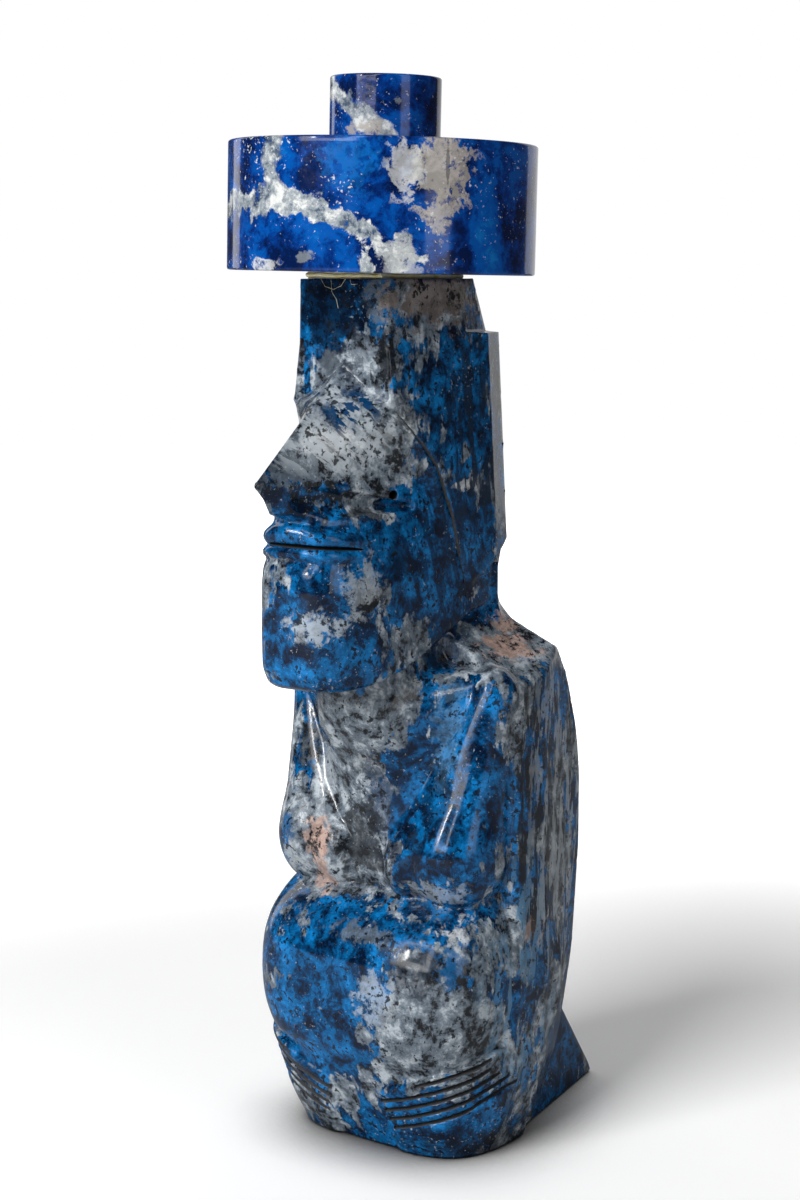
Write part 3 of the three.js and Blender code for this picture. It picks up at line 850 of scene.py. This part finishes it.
def makeStoneFleck():
    # small grains, more of them where a cloud is thick
    tree, takes, gives = newGroup("stoneFleck", "ShaderNodeTree", [
        ("Place", "Vector"), ("Size", "Float", 1.5), ("Amount", "Float", 0.3), ("Cluster", "Float", 12.0)],
        [("Mask", "Float")])
    cloud = useGroup(tree, stoneField, takes["Place"], Size=takes["Cluster"], Detail=3.0, Warp=4.0)[0]
    grain = useGroup(tree, stoneField, takes["Place"], Size=takes["Size"], Detail=5.0, Warp=0.6)[0]
    level = minus(tree, 1.0, times(tree, takes["Amount"], cloud))
    tree.links.new(calc(tree, "DIVIDE", minus(tree, grain, level), 0.12, True), gives["Mask"])
    return tree


def makeStonePolish():
    # hand polish: roughness that drifts, and a faint waviness with pits
    tree, takes, gives = newGroup("stonePolish", "ShaderNodeTree", [
        ("Place", "Vector"), ("Base", "Float", 0.1), ("Spread", "Float", 0.08)],
        [("Roughness", "Float"), ("Height", "Float")])
    drift = useGroup(tree, stoneField, takes["Place"], Size=9.0, Detail=7.0, Warp=2.0)[0]
    tree.links.new(plus(tree, takes["Base"], times(tree, drift, takes["Spread"])), gives["Roughness"])
    wave = noiseAt(tree, takes["Place"], 0.16, 2.0)[0]
    pit = times(tree, ramp(tree, noiseAt(tree, takes["Place"], 1.9, 3.0)[0], 0.66, 0.78), -0.35)
    tree.links.new(plus(tree, wave, pit), gives["Height"])
    return tree


stoneField = makeStoneField()
placedPatch = makePlacedPatch()
placedArch = makePlacedArch()
placedSheet = makePlacedSheet()
stoneFleck = makeStoneFleck()
stonePolish = makeStonePolish()


class StonePainter:
    # lays colours over each other in one material
    def __init__(self, name):
        self.material = bpy.data.materials.new(name)
        self.material.use_nodes = True
        self.tree = self.material.node_tree
        self.shader = self.tree.nodes["Principled BSDF"]
        spot = self.tree.nodes.new("ShaderNodeTexCoord").outputs["Object"]
        self.place = shift(self.tree, "SCALE", spot, 1000.0)
        self.colour = None

    def effect(self, group, **values):
        return useGroup(self.tree, group, values.pop("Place", self.place), **values)[0]

    def times(self, a, b):
        return times(self.tree, a, b)

    def plus(self, a, b):
        return plus(self.tree, a, b)

    def step(self, value, low, high):
        return ramp(self.tree, value, low, high)

    def mix(self, share, a, b):
        node = wire(self.tree, "ShaderNodeMix", {"data_type": "RGBA"}, {0: share, 6: a, 7: b})
        return node.outputs[2]

    def shades(self, source, first, *steps):
        # from one colour to the next while the source rises
        tone = first
        for colour, low, high in steps:
            tone = self.mix(self.step(source, low, high), tone, colour)
        return tone

    def cover(self, share, colour):
        self.colour = self.mix(share, self.colour, colour)

    def patches(self, places, colours, style, dapple, smoke):
        # ragged patches of another stone, and a few of painted shade, painted highlight and painted reflection,
        # darker where the dapple is low, with the smoke let through
        for centre, reach, shade, weight in places.values():
            mask = self.effect(placedPatch, Centre=centre, Reach=reach, **style["edge"])
            worn = (*(part * style["worn"] for part in colours[shade][:3]), 1)
            tone = self.mix(self.step(dapple, *style["dapple"]), worn, colours[shade])
            tone = self.mix(self.step(smoke, *style["smoke"]), colours[style["under"]], tone)
            self.cover(self.times(mask, weight), tone)

    def flecks(self, size, amount, cluster, weight, colour):
        fleck = self.effect(stoneFleck, Size=size, Amount=amount, Cluster=cluster)
        self.cover(self.times(fleck, weight), colour)

    def finish(self, base, spread, bump):
        polish = useGroup(self.tree, stonePolish, self.place, Base=base, Spread=spread)
        relief = wire(self.tree, "ShaderNodeBump", {}, {
            "Strength": bump, "Distance": 0.0004, "Height": polish["Height"]})
        self.tree.links.new(self.colour, self.shader.inputs["Base Color"])
        self.tree.links.new(polish["Roughness"], self.shader.inputs["Roughness"])
        self.tree.links.new(relief.outputs["Normal"], self.shader.inputs["Normal"])
        return self.material


# Stone of the figure
figureStone = {
    "navy": tint(0, 14, 36),
    "deep": tint(0, 46, 82),
    "blue": tint(0, 78, 128),
    "bright": tint(6, 108, 172),
    "charcoal": tint(20, 23, 27),
    "grey": tint(90, 100, 110),
    "pale": tint(156, 164, 170),
    "white": tint(198, 202, 204),
    "black": tint(6, 9, 14),
    "pink": tint(178, 150, 138),
    "brown": tint(122, 114, 110),
    "sky": tint(96, 138, 170),
}
# where it turns blue (weight above 0) or grey (below 0), as centre, reach and weight
figureLean = {
    "pad": ((30, -3, 122), (17, 18, 38), 1.0),
    "bellyMiddle": ((-4, -24, 60), (19, 22, 26), 1.1),
    "bellyLow": ((-14, -21, 38), (17, 22, 15), 0.9),
    "chin": ((8, -46, 178), (20, 18, 20), 0.55),
    "mouth": ((8, -46, 214), (16, 16, 8), 0.9),
    "cheek": ((21, 2, 208), (12, 26, 26), 0.9),
    "headSide": ((22, 10, 254), (8, 24, 20), 0.6),
    "forehead": ((-8, -20, 284), (13, 8, 14), 0.9),
    "arm": ((47, 24, 110), (6, 12, 44), 0.3),
    "hands": ((34, -8, 22), (22, 18, 12), 0.45),
    "foot": ((12, -10, 4), (24, 14, 8), 0.15),
    "wedge": ((26, 76, 24), (22, 30, 30), 0.5),
    "noseSide": ((12, -30, 247), (15, 20, 13), -1.3),
    "noseFar": ((-10, -34, 246), (12, 20, 12), -0.6),
    "browFront": ((2, -24, 264), (12, 10, 9), -0.8),
    "throat": ((6, -19, 150), (22, 16, 13), -1.0),
    "chest": ((-8, -8, 116), (15, 12, 30), -0.9),
    "bellySide": ((38, -14, 48), (18, 20, 20), -0.9),
    "crown": ((20, 4, 291), (14, 18, 7), -1.2),
    "shoulder": ((32, 28, 172), (16, 18, 10), -0.9),
    "farPad": ((-24, -9, 100), (10, 10, 16), -0.6),
}
# as centre, reach, colour and weight
figurePatches = {
    "splash": ((23.9, 18, 228), (2, 7, 1.6), "white", 0.9),
    "noseBase": ((10, -33, 246), (16, 19, 11), "pale", 0.65),
    "noseWarm": ((8, -37, 244.5), (6, 12, 4), "white", 0.5),
    "noseTip": ((4, -49, 236), (12, 12, 5), "grey", 0.85),
    # painted shade: black and charcoal in the hollow under the wing of the nose
    "scoop": ((13, -43, 227), (9, 12, 4.5), "black", 0.9),
    "scoopLowPaintedShade": ((17, -30, 222), (6, 9, 3), "charcoal", 0.7),
    "foreFront": ((-4, -21, 285), (14, 6, 17), "navy", 0.8),
    "foreDapple": ((-5, -21, 269), (4, 5, 5), "grey", 0.8),
    "paleDapple": ((8, -21, 272), (5, 5, 4), "grey", 0.6),
    "foreSpot": ((2, -21, 281), (3, 5, 3), "navy", 0.7),
    "darkSpots": ((17.6, -20, 269), (5, 5, 6), "black", 0.85),
    "crownBlue": ((13.8, -20.4, 290), (3.5, 5, 8), "grey", 0.8),
    "brownCrown": ((21, 3, 291), (9, 24, 9), "brown", 1.0),
    "greyChin": ((10, -46, 186.5), (9, 10, 4.5), "pale", 0.8),
    "chinHigh": ((19, -32, 197), (5, 7, 9), "pale", 0.7),
    "cheekBlack": ((20.4, -15.9, 206), (3, 5, 6), "deep", 0.8),
    # painted shade under the jaw, on the side of the neck
    "underJawPaintedShade": ((20, 8, 172), (5, 14, 7), "deep", 0.7),
    # painted highlight: a pale streak down the far pad
    "farPadPaintedHighlight": ((-21, -3, 130), (6, 7, 14), "pale", 0.5),
    "chestSlate": ((6, -6, 122), (8, 6, 16), "deep", 0.6),
    "chestDark": ((-3, -6, 108), (9, 6, 15), "charcoal", 0.75),
    "chestHigh": ((4, -8, 134), (9, 7, 5), "charcoal", 0.4),
    # painted reflection: a pale band of the surroundings down the near pad
    "nearPadPaintedReflection": ((29, 0, 140), (4, 7, 22), "sky", 0.35),
    "padDark": ((22, -8, 104), (11, 6, 13), "navy", 0.8),
    "padHeart": ((30, -4, 120), (9, 7, 14), "navy", 0.6),
    "padFoot": ((31, -8, 94), (12, 5, 4), "pale", 0.5),
    "farDark": ((-30, -2, 138), (5, 7, 14), "charcoal", 0.7),
    "farBlue": ((-32.7, -10, 108), (4, 5, 4), "blue", 0.8),
    "farPale": ((-31, -9, 98), (5, 5, 5), "pale", 0.8),
    "bellyRing": ((8, -24, 79), (13, 12, 3), "grey", 0.8),
    "bellyDark": ((30, -18, 70), (12, 9, 7), "navy", 0.7),
    "bellyStone": ((16, -24, 58), (7, 12, 8), "pale", 0.6),
    "bellyPaleLow": ((30, -20, 42), (14, 9, 6), "grey", 0.5),
    "footDark": ((34, 2, 4), (17, 20, 6), "charcoal", 0.6),
    "bellyCorner": ((42, -11, 84), (6, 7, 4), "white", 0.8),
    "bellyBlueEdge": ((41, -15, 72), (4, 6, 7), "blue", 0.8),
    "pinkShoulder": ((31, 30, 172), (10, 9, 4), "pink", 0.9),
    "pinkNape": ((24, 37, 179), (6, 8, 4), "pink", 0.8),
    "pinkFarPad": ((-19.5, -11, 105), (5, 7, 7), "pink", 0.9),
    "pinkFarLow": ((-18, -10, 94), (4, 7, 7), "pink", 0.8),
    "pinkElbow": ((48.5, 22, 78), (5, 5, 6), "pink", 0.8),
}
# streaks as centre, direction, reach, colour and weight
figureStreaks = {
    "noseDark": ((14, -26, 250), (0.45, 0.6, -0.66), (12, 20, 12), "charcoal", 0.6),
    "nosePale": ((9, -36, 244), (0.5, 0.62, -0.6), (13, 20, 9), "pale", 0.8),
    "noseBlue": ((10, -26, 254), (0.45, 0.6, -0.66), (9, 12, 7), "deep", 0.95),
    "cheekBlue": ((23, 8, 208), (0.0, 0.35, -0.94), (8, 26, 30), "navy", 0.6),
    "sideBlue": ((23, 20, 240), (0.0, 0.1, -1.0), (8, 16, 34), "deep", 0.8),
    "sideDark": ((23, 26, 250), (0.0, 0.1, -1.0), (8, 18, 40), "charcoal", 0.6),
    "armDark": ((48, 24, 118), (0.0, 0.05, 1.0), (8, 14, 50), "charcoal", 0.9),
    "armBlue": ((48, 18, 60), (0.0, 0.1, 1.0), (10, 20, 40), "sky", 0.5),
    "backPale": ((44, 46, 120), (0.0, 0.1, 1.0), (10, 22, 70), "pale", 0.6),
}


figurePatchStyle = {
    "edge": {"Ragged": 1.6, "Grain": 5.0, "Soft": 0.2},
    "worn": 0.55,
    "dapple": (0.25, 0.7),
    "smoke": (0.2, 0.42),
    "under": "charcoal",
}


def makeFigureStone():
    paint = StonePainter("polishedFigureStone")
    colour = figureStone
    lean = None
    for centre, reach, weight in figureLean.values():
        mask = paint.effect(placedPatch, Centre=centre, Reach=reach, Ragged=0.7, Grain=11.0, Soft=0.35)
        part = paint.times(mask, weight)
        lean = part if lean is None else paint.plus(lean, part)
    cloud = paint.effect(stoneField, Size=24.0, Detail=9.0, Warp=9.0)
    streakPlace = shift(paint.tree, "MULTIPLY", paint.place, (1.0, 1.0, 0.28))
    streak = paint.effect(stoneField, Place=streakPlace, Size=5.0, Detail=8.0, Warp=1.5)
    blueness = paint.plus(paint.times(cloud, 0.6), paint.times(streak, 0.4))
    blueness = paint.step(paint.plus(blueness, paint.times(lean, 0.42)), 0.46, 0.55)
    dapple = paint.effect(stoneField, Size=9.0, Detail=12.0, Warp=4.0, Rough=0.72)
    blue = paint.shades(
        dapple, colour["navy"], (colour["deep"], 0.2, 0.45), (colour["blue"], 0.4, 0.6),
        (colour["bright"], 0.6, 0.85))
    smoke = paint.effect(stoneField, Size=7.0, Detail=12.0, Warp=3.0, Rough=0.72)
    grey = paint.shades(smoke, colour["charcoal"], (colour["grey"], 0.2, 0.5), (colour["pale"], 0.5, 0.85))
    paint.colour = paint.mix(blueness, grey, blue)
    paint.patches(figurePatches, colour, figurePatchStyle, dapple, smoke)
    for start, course, reach, shade, weight in figureStreaks.values():
        # lines drawn out along one direction
        direction = tuple(Vector(course).normalized())
        back = paint.times(shift(paint.tree, "DOT_PRODUCT", paint.place, direction), -0.82)
        drawn = shift(paint.tree, "ADD", paint.place, shift(paint.tree, "SCALE", direction, back))
        line = paint.step(paint.effect(stoneField, Place=drawn, Size=3.6, Detail=6.0, Warp=0.8), 0.5, 0.62)
        zone = paint.effect(placedPatch, Centre=start, Reach=reach, Ragged=0.5, Grain=9.0, Soft=0.3)
        paint.cover(paint.times(paint.times(zone, line), weight), colour[shade])
    paint.flecks(1.2, 0.22, 24.0, 0.6, colour["pale"])
    paint.flecks(2.2, 0.46, 9.0, 0.9, colour["black"])
    return paint.finish(0.07, 0.12, 0.25)


# Stone of the hat: one strong blue with warm grey sheets
hatStone = {
    "navy": tint(0, 18, 58),
    "deep": tint(0, 40, 104),
    "blue": tint(0, 68, 142),
    "bright": tint(12, 98, 168),
    "pale": tint(130, 138, 144),
    "warm": tint(160, 154, 146),
    "white": tint(196, 198, 196),
    "smoke": tint(66, 78, 92),
    "crack": tint(52, 46, 42),
}
# as centre, direction across, reach across and up, thickness, raggedness and grain
hatArches = {
    "discBand": ((-5.6, -55, 297), (0.788, 0.616, 0), 38.0, 20.0, 0.27, 0.4, 10.0),
    "discRim": ((-5.6, -55, 297), (0.788, 0.616, 0), 38.0, 20.0, 0.05, 0.4, 10.0),
}
# as facing, offset, half thickness, raggedness and the level it stays above
hatSheets = {
    "knobBand": ((0.52, 0.41, 0.75), 256.5, 2.6, 3.5, 341.5),
    "discStrand": ((0.788, 0.616, 0.0), -33.5, 2.2, 2.5, 322.0),
}
hatPatches = {
    "discUpper": ((44.3, -25.2, 329), (10, 10, 11), "warm", 0.95),
    "discUpperFoot": ((43.9, -25.8, 317), (4, 4, 6), "warm", 0.8),
    "discUpperPale": ((37, -35, 330), (6, 6, 8), "white", 0.7),
    "discCrackA": ((45.2, -23.6, 330), (0.8, 0.5, 6), "crack", 0.7),
    "discHaze": ((24, -44, 333), (9, 9, 8), "bright", 0.5),
    "discFoot": ((-8, -50, 300), (6, 6, 2.2), "white", 0.8),
    "discFootSmall": ((9, -49, 303), (3, 5, 2), "pale", 0.8),
    "discTail": ((36, -36, 301), (7, 7, 6), "white", 0.5),
    "knobFoot": ((6, -17, 344.5), (8, 5, 2.6), "warm", 0.8),
    # painted highlight on the right of the knob
    "knobPaintedHighlight": ((15, -9, 352), (1.3, 2.4, 1.3), "pale", 0.8),
}


hatPatchStyle = {
    "edge": {"Ragged": 1.9, "Grain": 6.0, "Soft": 0.15},
    "worn": 0.6,
    "dapple": (0.2, 0.7),
    "smoke": (0.1, 0.4),
    "under": "deep",
}


def makeHatStone():
    paint = StonePainter("polishedHatStone")
    colour = hatStone
    dapple = paint.effect(stoneField, Size=15.0, Detail=12.0, Warp=6.0, Rough=0.7)
    paint.colour = paint.shades(
        dapple, colour["navy"], (colour["deep"], 0.2, 0.45), (colour["blue"], 0.4, 0.65),
        (colour["bright"], 0.72, 1.0))
    smoke = paint.effect(stoneField, Size=6.0, Detail=12.0, Warp=2.5, Rough=0.72)
    pale = paint.shades(smoke, colour["smoke"], (colour["pale"], 0.2, 0.5), (colour["white"], 0.5, 0.8))
    holes = paint.step(smoke, 0.06, 0.24)
    for centre, across, reachAcross, reachUp, thick, uneven, grain in hatArches.values():
        mask = paint.effect(
            placedArch, Centre=centre, Across=across, ReachAcross=reachAcross, ReachUp=reachUp, Thick=thick,
            Ragged=uneven, Grain=grain)
        paint.cover(paint.times(mask, holes), pale)
    height = wire(paint.tree, "ShaderNodeSeparateXYZ", {}, {"Vector": paint.place}).outputs["Z"]
    for facing, offset, half, uneven, level in hatSheets.values():
        mask = paint.effect(
            placedSheet, Facing=facing, Offset=offset, Half=half, Ragged=uneven * 2, Grain=14.0)
        mask = paint.times(mask, paint.step(height, level - 0.5, level + 0.5))
        paint.cover(paint.times(mask, holes), pale)
    paint.patches(hatPatches, colour, hatPatchStyle, dapple, smoke)
    paint.flecks(1.3, 0.25, 22.0, 0.75, colour["white"])
    return paint.finish(0.06, 0.08, 0.15)


sawnStone = {"colour": tint(26, 27, 30), "dust": tint(96, 98, 100)}


def makeSawnStone():
    # the walls of the saw cuts, left unpolished
    paint = StonePainter("sawnStone")
    paint.colour = paint.mix(
        paint.effect(stoneField, Size=1.2, Detail=5.0, Warp=0.4), sawnStone["colour"], sawnStone["dust"])
    paint.cover(0.75, sawnStone["colour"])
    return paint.finish(0.7, 0.2, 0.5)


glueFinish = {"amber": tint(200, 186, 118), "cloudy": tint(228, 224, 200)}


def makeGlueFinish():
    paint = StonePainter("curedGlue")
    paint.colour = paint.mix(
        paint.effect(stoneField, Size=5.0, Detail=5.0, Warp=2.0), glueFinish["amber"], glueFinish["cloudy"])
    paint.shader.inputs["Subsurface Weight"].default_value = 0.3
    paint.shader.inputs["Subsurface Radius"].default_value = (0.002, 0.0015, 0.0006)
    return paint.finish(0.18, 0.2, 0.6)


figureMaterial = makeFigureStone()
hatMaterial = makeHatStone()
sawnMaterial = makeSawnStone()
glueMaterial = makeGlueFinish()
report("materials")

# Hat disc and knob: turned drums that lean a little together
hat = {
    "radius": 50.8,
    "height": 41.8,
    "bevel": 0.8,
    "tilt": 1.2,
    "lean": 38.0,
    "knobRadius": 18.3,
    "knobHeight": 21.0,
    "knobBevel": 0.7,
    "knobOffset": 0.6,
    "waver": 0.1,
    "ground": 0.05,      # ground off the radius, so that the waver stays inside it
    "glue": 1.6,
    "gap": 0.3,
}


def pushedAbout(tree, geometry, noise, reach):
    push = shift(tree, "SCALE", centred(tree, noise["Color"]), reach)
    return wire(tree, "GeometryNodeSetPosition", {}, {"Geometry": geometry, "Offset": push}).outputs[0]


def noiseInPlace(tree, seed, scale):
    spot = tree.nodes.new("GeometryNodeInputPosition").outputs[0]
    return wire(tree, "ShaderNodeTexNoise", {"noise_dimensions": "4D"}, {
        "Vector": spot, "W": seed, "Scale": scale, "Detail": 2.0}).outputs


def endTree(tree, geometry, material, gives):
    smooth = wire(tree, "GeometryNodeSetShadeSmooth", {}, {0: geometry}).outputs[0]
    real = wire(tree, "GeometryNodeRealizeInstances", {}, {0: smooth}).outputs[0]
    done = wire(tree, "GeometryNodeSetMaterial", {}, {"Geometry": real, "Material": material}).outputs[0]
    tree.links.new(done, gives["Geometry"])
    return tree


def makeTurnedDrum():
    # a drum with a faint waver left by hand grinding
    tree, takes, gives = newGroup("turnedDrum", "GeometryNodeTree", [
        ("Geometry", "Geometry"), ("Radius", "Float", 0.05), ("Height", "Float", 0.04), ("Sides", "Int", 160),
        ("Waver", "Float", 0.0001), ("Seed", "Float", 1.0), ("Stone", "Material")], [("Geometry", "Geometry")])
    drum = wire(tree, "GeometryNodeMeshCylinder", {"fill_type": "TRIANGLE_FAN"}, {
        "Vertices": takes["Sides"], "Side Segments": 20, "Fill Segments": 14,
        "Radius": takes["Radius"], "Depth": takes["Height"]})
    noise = noiseInPlace(tree, takes["Seed"], 30.0)
    moved = pushedAbout(tree, drum.outputs["Mesh"], noise, takes["Waver"])
    return endTree(tree, moved, takes["Stone"], gives)


def hatFrame():
    lean = math.radians(hat["lean"])
    tilt = Matrix.Rotation(math.radians(hat["tilt"]), 4, Vector((-math.sin(lean), math.cos(lean), 0)))
    return Matrix.Translation((0, 0, (head["top"] + hat["glue"] + hat["gap"]) * mm)) @ tilt


def placeDrum(name, radius, height, bevel, aside, lift, seed):
    values = {
        "Radius": (radius - hat["ground"]) * mm, "Height": height * mm, "Bevel": bevel * mm,
        "Waver": hat["waver"] * mm, "Seed": seed, "Stone": hatMaterial}
    piece = dressWith(name, turnedDrum, values)
    piece.data.transform(hatFrame() @ Matrix.Translation((aside * mm, 0, (lift + height / 2) * mm)))
    return piece


turnedDrum = makeTurnedDrum()
disc = placeDrum("hat_stone_disc", hat["radius"], hat["height"], hat["bevel"], 0, 0, 3.0)
knob = placeDrum(
    "hat_stone_knob", hat["knobRadius"], hat["knobHeight"], hat["knobBevel"], hat["knobOffset"],
    hat["height"] + hat["gap"], 8.0)
report("hat")

# Glue: a squeezed bead round the top of the head, and a few pulled strings
glue = {
    "outline": [
        (-15.5, -18.9), (-8, -19.4), (3, -19.4), (14.4, -18.6), (16.4, -8), (17.4, 12), (14.6, 25), (-14.6, 25),
        (-17.4, 12), (-16.6, -8),
    ],
    "strings": [
        [
            (-9.0, -20.3, 296.3), (-6.0, -21.6, 293.6), (-2.6, -21.5, 292.6), (0.6, -21.4, 293.8),
            (2.0, -20.6, 296.2),
        ],
        [(-4.5, -20.4, 296.3), (-3.2, -21.5, 291.8), (-1.4, -21.4, 289.4), (-0.8, -21.2, 286.6)],
        [(3.5, -20.4, 296.3), (5.0, -21.6, 294.2), (7.5, -21.5, 294.4)],
    ],
    "rim": {"radius": 0.85, "uneven": 1.2, "steps": 260, "seed": 2.0},
    "string": {"radius": 0.07, "uneven": 3.0, "steps": 60, "seed": 5.0},
    "clear": 0.05,       # what the sheet of glue keeps from both stones
}


def makeGlueBead():
    # a rounded bead that fills the wedge under the hat, along an outline
    tree, takes, gives = newGroup("glueBead", "GeometryNodeTree", [
        ("Geometry", "Geometry"), ("Radius", "Float", 0.0008), ("Uneven", "Float", 0.5), ("Steps", "Int", 200),
        ("Seed", "Float", 2.0), ("Glue", "Material")], [("Geometry", "Geometry")])
    curve = wire(tree, "GeometryNodeMeshToCurve", {}, {0: takes["Geometry"]}).outputs[0]
    even = wire(tree, "GeometryNodeResampleCurve", {}, {"Curve": curve, "Count": takes["Steps"]}).outputs[0]
    noise = noiseInPlace(tree, takes["Seed"], 260.0)
    moved = pushedAbout(tree, even, noise, times(tree, takes["Radius"], takes["Uneven"]))
    size = wire(tree, "ShaderNodeMapRange", {}, {
        "Value": noise[0], "From Min": 0.3, "From Max": 0.7, "To Min": 0.7, "To Max": 1.0}).outputs[0]
    ring = wire(tree, "GeometryNodeCurvePrimitiveCircle", {}, {"Resolution": 10, "Radius": takes["Radius"]})
    tube = wire(tree, "GeometryNodeCurveToMesh", {}, {
        "Curve": moved, "Profile Curve": ring.outputs[0], "Scale": size, "Fill Caps": True})
    return endTree(tree, tube.outputs[0], takes["Glue"], gives)


def pathMesh(name, path, closed):
    mesh = bpy.data.meshes.new(name)
    count = len(path)
    edges = [(i, (i + 1) % count) for i in range(count if closed else count - 1)]
    mesh.from_pydata([tuple(v * mm for v in point) for point in path], edges, [])
    return mesh


def gapAt(x, y):
    # height between the head and the leaning hat
    lean = math.radians(hat["lean"])
    across = x * math.cos(lean) + y * math.sin(lean)
    return hat["glue"] + hat["gap"] - across * math.tan(math.radians(hat["tilt"]))


def glueFill():
    # the sheet of glue inside the bead
    mesh = bmesh.new()
    clear, outline = glue["clear"], glue["outline"]
    low = [mesh.verts.new((x * mm, y * mm, (head["top"] + clear) * mm)) for x, y in outline]
    high = [mesh.verts.new((x * mm, y * mm, (head["top"] + gapAt(x, y) - clear) * mm)) for x, y in outline]
    count = len(low)
    for i in range(count):
        mesh.faces.new((low[i], low[(i + 1) % count], high[(i + 1) % count], high[i]))
    mesh.faces.new(low[::-1])
    mesh.faces.new(high)
    bmesh.ops.recalc_face_normals(mesh, faces=mesh.faces)
    data = meshData("glue_fill", mesh)
    data.materials.append(glueMaterial)
    return data


def glueLine(name, path, closed, style, turn=0):
    return dressWith(name, glueBead, {
        "Radius": style["radius"] * mm, "Uneven": style["uneven"], "Steps": style["steps"],
        "Seed": style["seed"] + turn, "Glue": glueMaterial}, pathMesh(name + "_path", path, closed))


def makeGlue():
    rim = [(x, y, head["top"] + gapAt(x, y) / 2) for x, y in glue["outline"]]
    parts = [glueLine("glue_rim", rim, True, glue["rim"])]
    for i, path in enumerate(glue["strings"]):
        parts.append(glueLine(f"glue_string_{i}", path, False, glue["string"], i))
    whole = bmesh.new()
    for part in parts:
        whole.from_mesh(part.data)
        bpy.data.objects.remove(part)
    whole.from_mesh(glueFill())
    data = meshData("cured_glue", whole)
    data.materials.append(glueMaterial)
    return placeObject("cured_glue_bead", data)


glueBead = makeGlueBead()
bead = makeGlue()
report("glue")

figure.data.materials.append(figureMaterial)
blades = [mouthBlade()]
for side in (1, -1):
    blades += [nostrilDrill(side), seamBlade(side)]
    blades += [fingerBlade(i, side) for i in range(len(fingers["tips"]))]
cutWith(figure, blades, sawnMaterial)
figure.data.polygons.foreach_set("use_smooth", [True] * len(figure.data.polygons))
report(f"sawn, {len(figure.data.polygons)} faces, {len(figure.data.materials)} finishes")
for piece, slot, node in (
        (figure, "figure_stone", "figure"), (disc, "hat_stone", "hat_disc"), (knob, "hat_stone", "hat_knob"),
        (bead, "cured_glue", "glue_bead")):
    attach(piece, "root")
    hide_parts(node)

# Floor and light
studio = {
    "floor": 3.2,            # metres, radius
    "floorGrey": 0.93,
    "fade": (0.23, 0.6),     # from here to here the floor brightens into the white surround
    "glow": (0.13, 0.95),
    "paintedShadowReach": 0.04,         # reach of the painted contact shadow, a dark rim painted onto the floor where the stone meets it, in metres
    # occlusion over which the painted contact shadow fades from full to none
    "paintedShadowFade": (0.22, 0.9),
    "sky": 0.05,
    "white": 1.0,
    "mirrored": 0.3,         # how bright the floor is in the polished stone
    "key": {"place": (-0.1, -2.15, 1.45), "size": (1.35, 1.35), "power": 92.0, "mirrored": False},
    "sheen": {"place": (-0.1, -2.15, 1.45), "size": (2.0, 2.0), "power": 52.0, "lights": False},
    "glint": {"place": (-0.55, -2.1, 1.1), "size": (0.12, 0.55), "power": 9.0, "lights": False},
    "top": {"place": (-0.2, 0.2, 2.3), "size": (0.9, 0.9), "power": 4.5, "mirrored": False},
    "left": {"place": (-1.9, 0.25, 0.8), "size": (0.5, 1.8), "power": 4.5},
    "back": {"place": (-0.75, 1.9, 0.7), "size": (2.4, 1.5), "power": 8.0},
    "side": {"place": (1.9, -0.35, 0.9), "size": (0.7, 1.8), "power": 5.5},
}


def makeFloor():
    mesh = bmesh.new()
    bmesh.ops.create_circle(mesh, cap_ends=True, segments=96, radius=studio["floor"])
    data = meshData("floor", mesh)
    floor = placeObject("floor", data)
    material = bpy.data.materials.new("paleFloor")
    material.use_nodes = True
    tree = material.node_tree
    shader = tree.nodes["Principled BSDF"]
    grey = studio["floorGrey"]
    shader.inputs["Roughness"].default_value = 0.8
    shader.inputs["Emission Color"].default_value = (1, 1, 1, 1)
    spot = tree.nodes.new("ShaderNodeTexCoord").outputs["Object"]
    low, high = studio["glow"]
    far = ramp(tree, shift(tree, "LENGTH", spot), *studio["fade"])
    glow = plus(tree, times(tree, far, high - low), low)
    path = tree.nodes.new("ShaderNodeLightPath").outputs
    # painted contact shadow: ambient occlusion darkens the floor's colour and its glow next to the stone
    corner = wire(tree, "ShaderNodeAmbientOcclusion", {"samples": 6}, {"Distance": studio["paintedShadowReach"]})
    near = ramp(tree, corner.outputs["AO"], *studio["paintedShadowFade"])
    seen = times(tree, times(tree, glow, near), path["Is Camera Ray"])
    tree.links.new(seen, shader.inputs["Emission Strength"])
    dimmed = times(tree, path["Is Glossy Ray"], studio["mirrored"] - grey)
    tone = times(tree, plus(tree, dimmed, grey), near)
    tree.links.new(tone, shader.inputs["Base Color"])
    data.materials.append(material)


def makeLight(name, target=(0, 0, 0.2)):
    values = studio[name]
    data = bpy.data.lights.new(name + "Light", "AREA")
    data.shape = "RECTANGLE"
    data.size, data.size_y = values["size"]
    data.energy = values["power"]
    lamp = placeObject(name + "Light", data)
    lamp.location = values["place"]
    lamp.rotation_euler = (Vector(target) - Vector(values["place"])).to_track_quat("-Z", "Y").to_euler()
    lamp.visible_camera = False
    lamp.visible_glossy = values.get("mirrored", True)
    lamp.visible_diffuse = values.get("lights", True)


def makeSky():
    # plain white all round, a little dimmer as a light than as a background
    world = bpy.data.worlds.new("studio")
    world.use_nodes = True
    tree = world.node_tree
    seen = tree.nodes.new("ShaderNodeLightPath").outputs["Is Camera Ray"]
    gain = times(tree, seen, studio["white"] - studio["sky"])
    background = tree.nodes["Background"]
    background.inputs["Color"].default_value = (1, 1, 1, 1)
    tree.links.new(plus(tree, gain, studio["sky"]), background.inputs["Strength"])
    bpy.context.scene.world = world
    bpy.context.scene.view_settings.view_transform = "Standard"


makeFloor()
makeSky()
for name in ("key", "sheen", "glint", "top", "left", "back", "side"):
    makeLight(name)
report("studio")
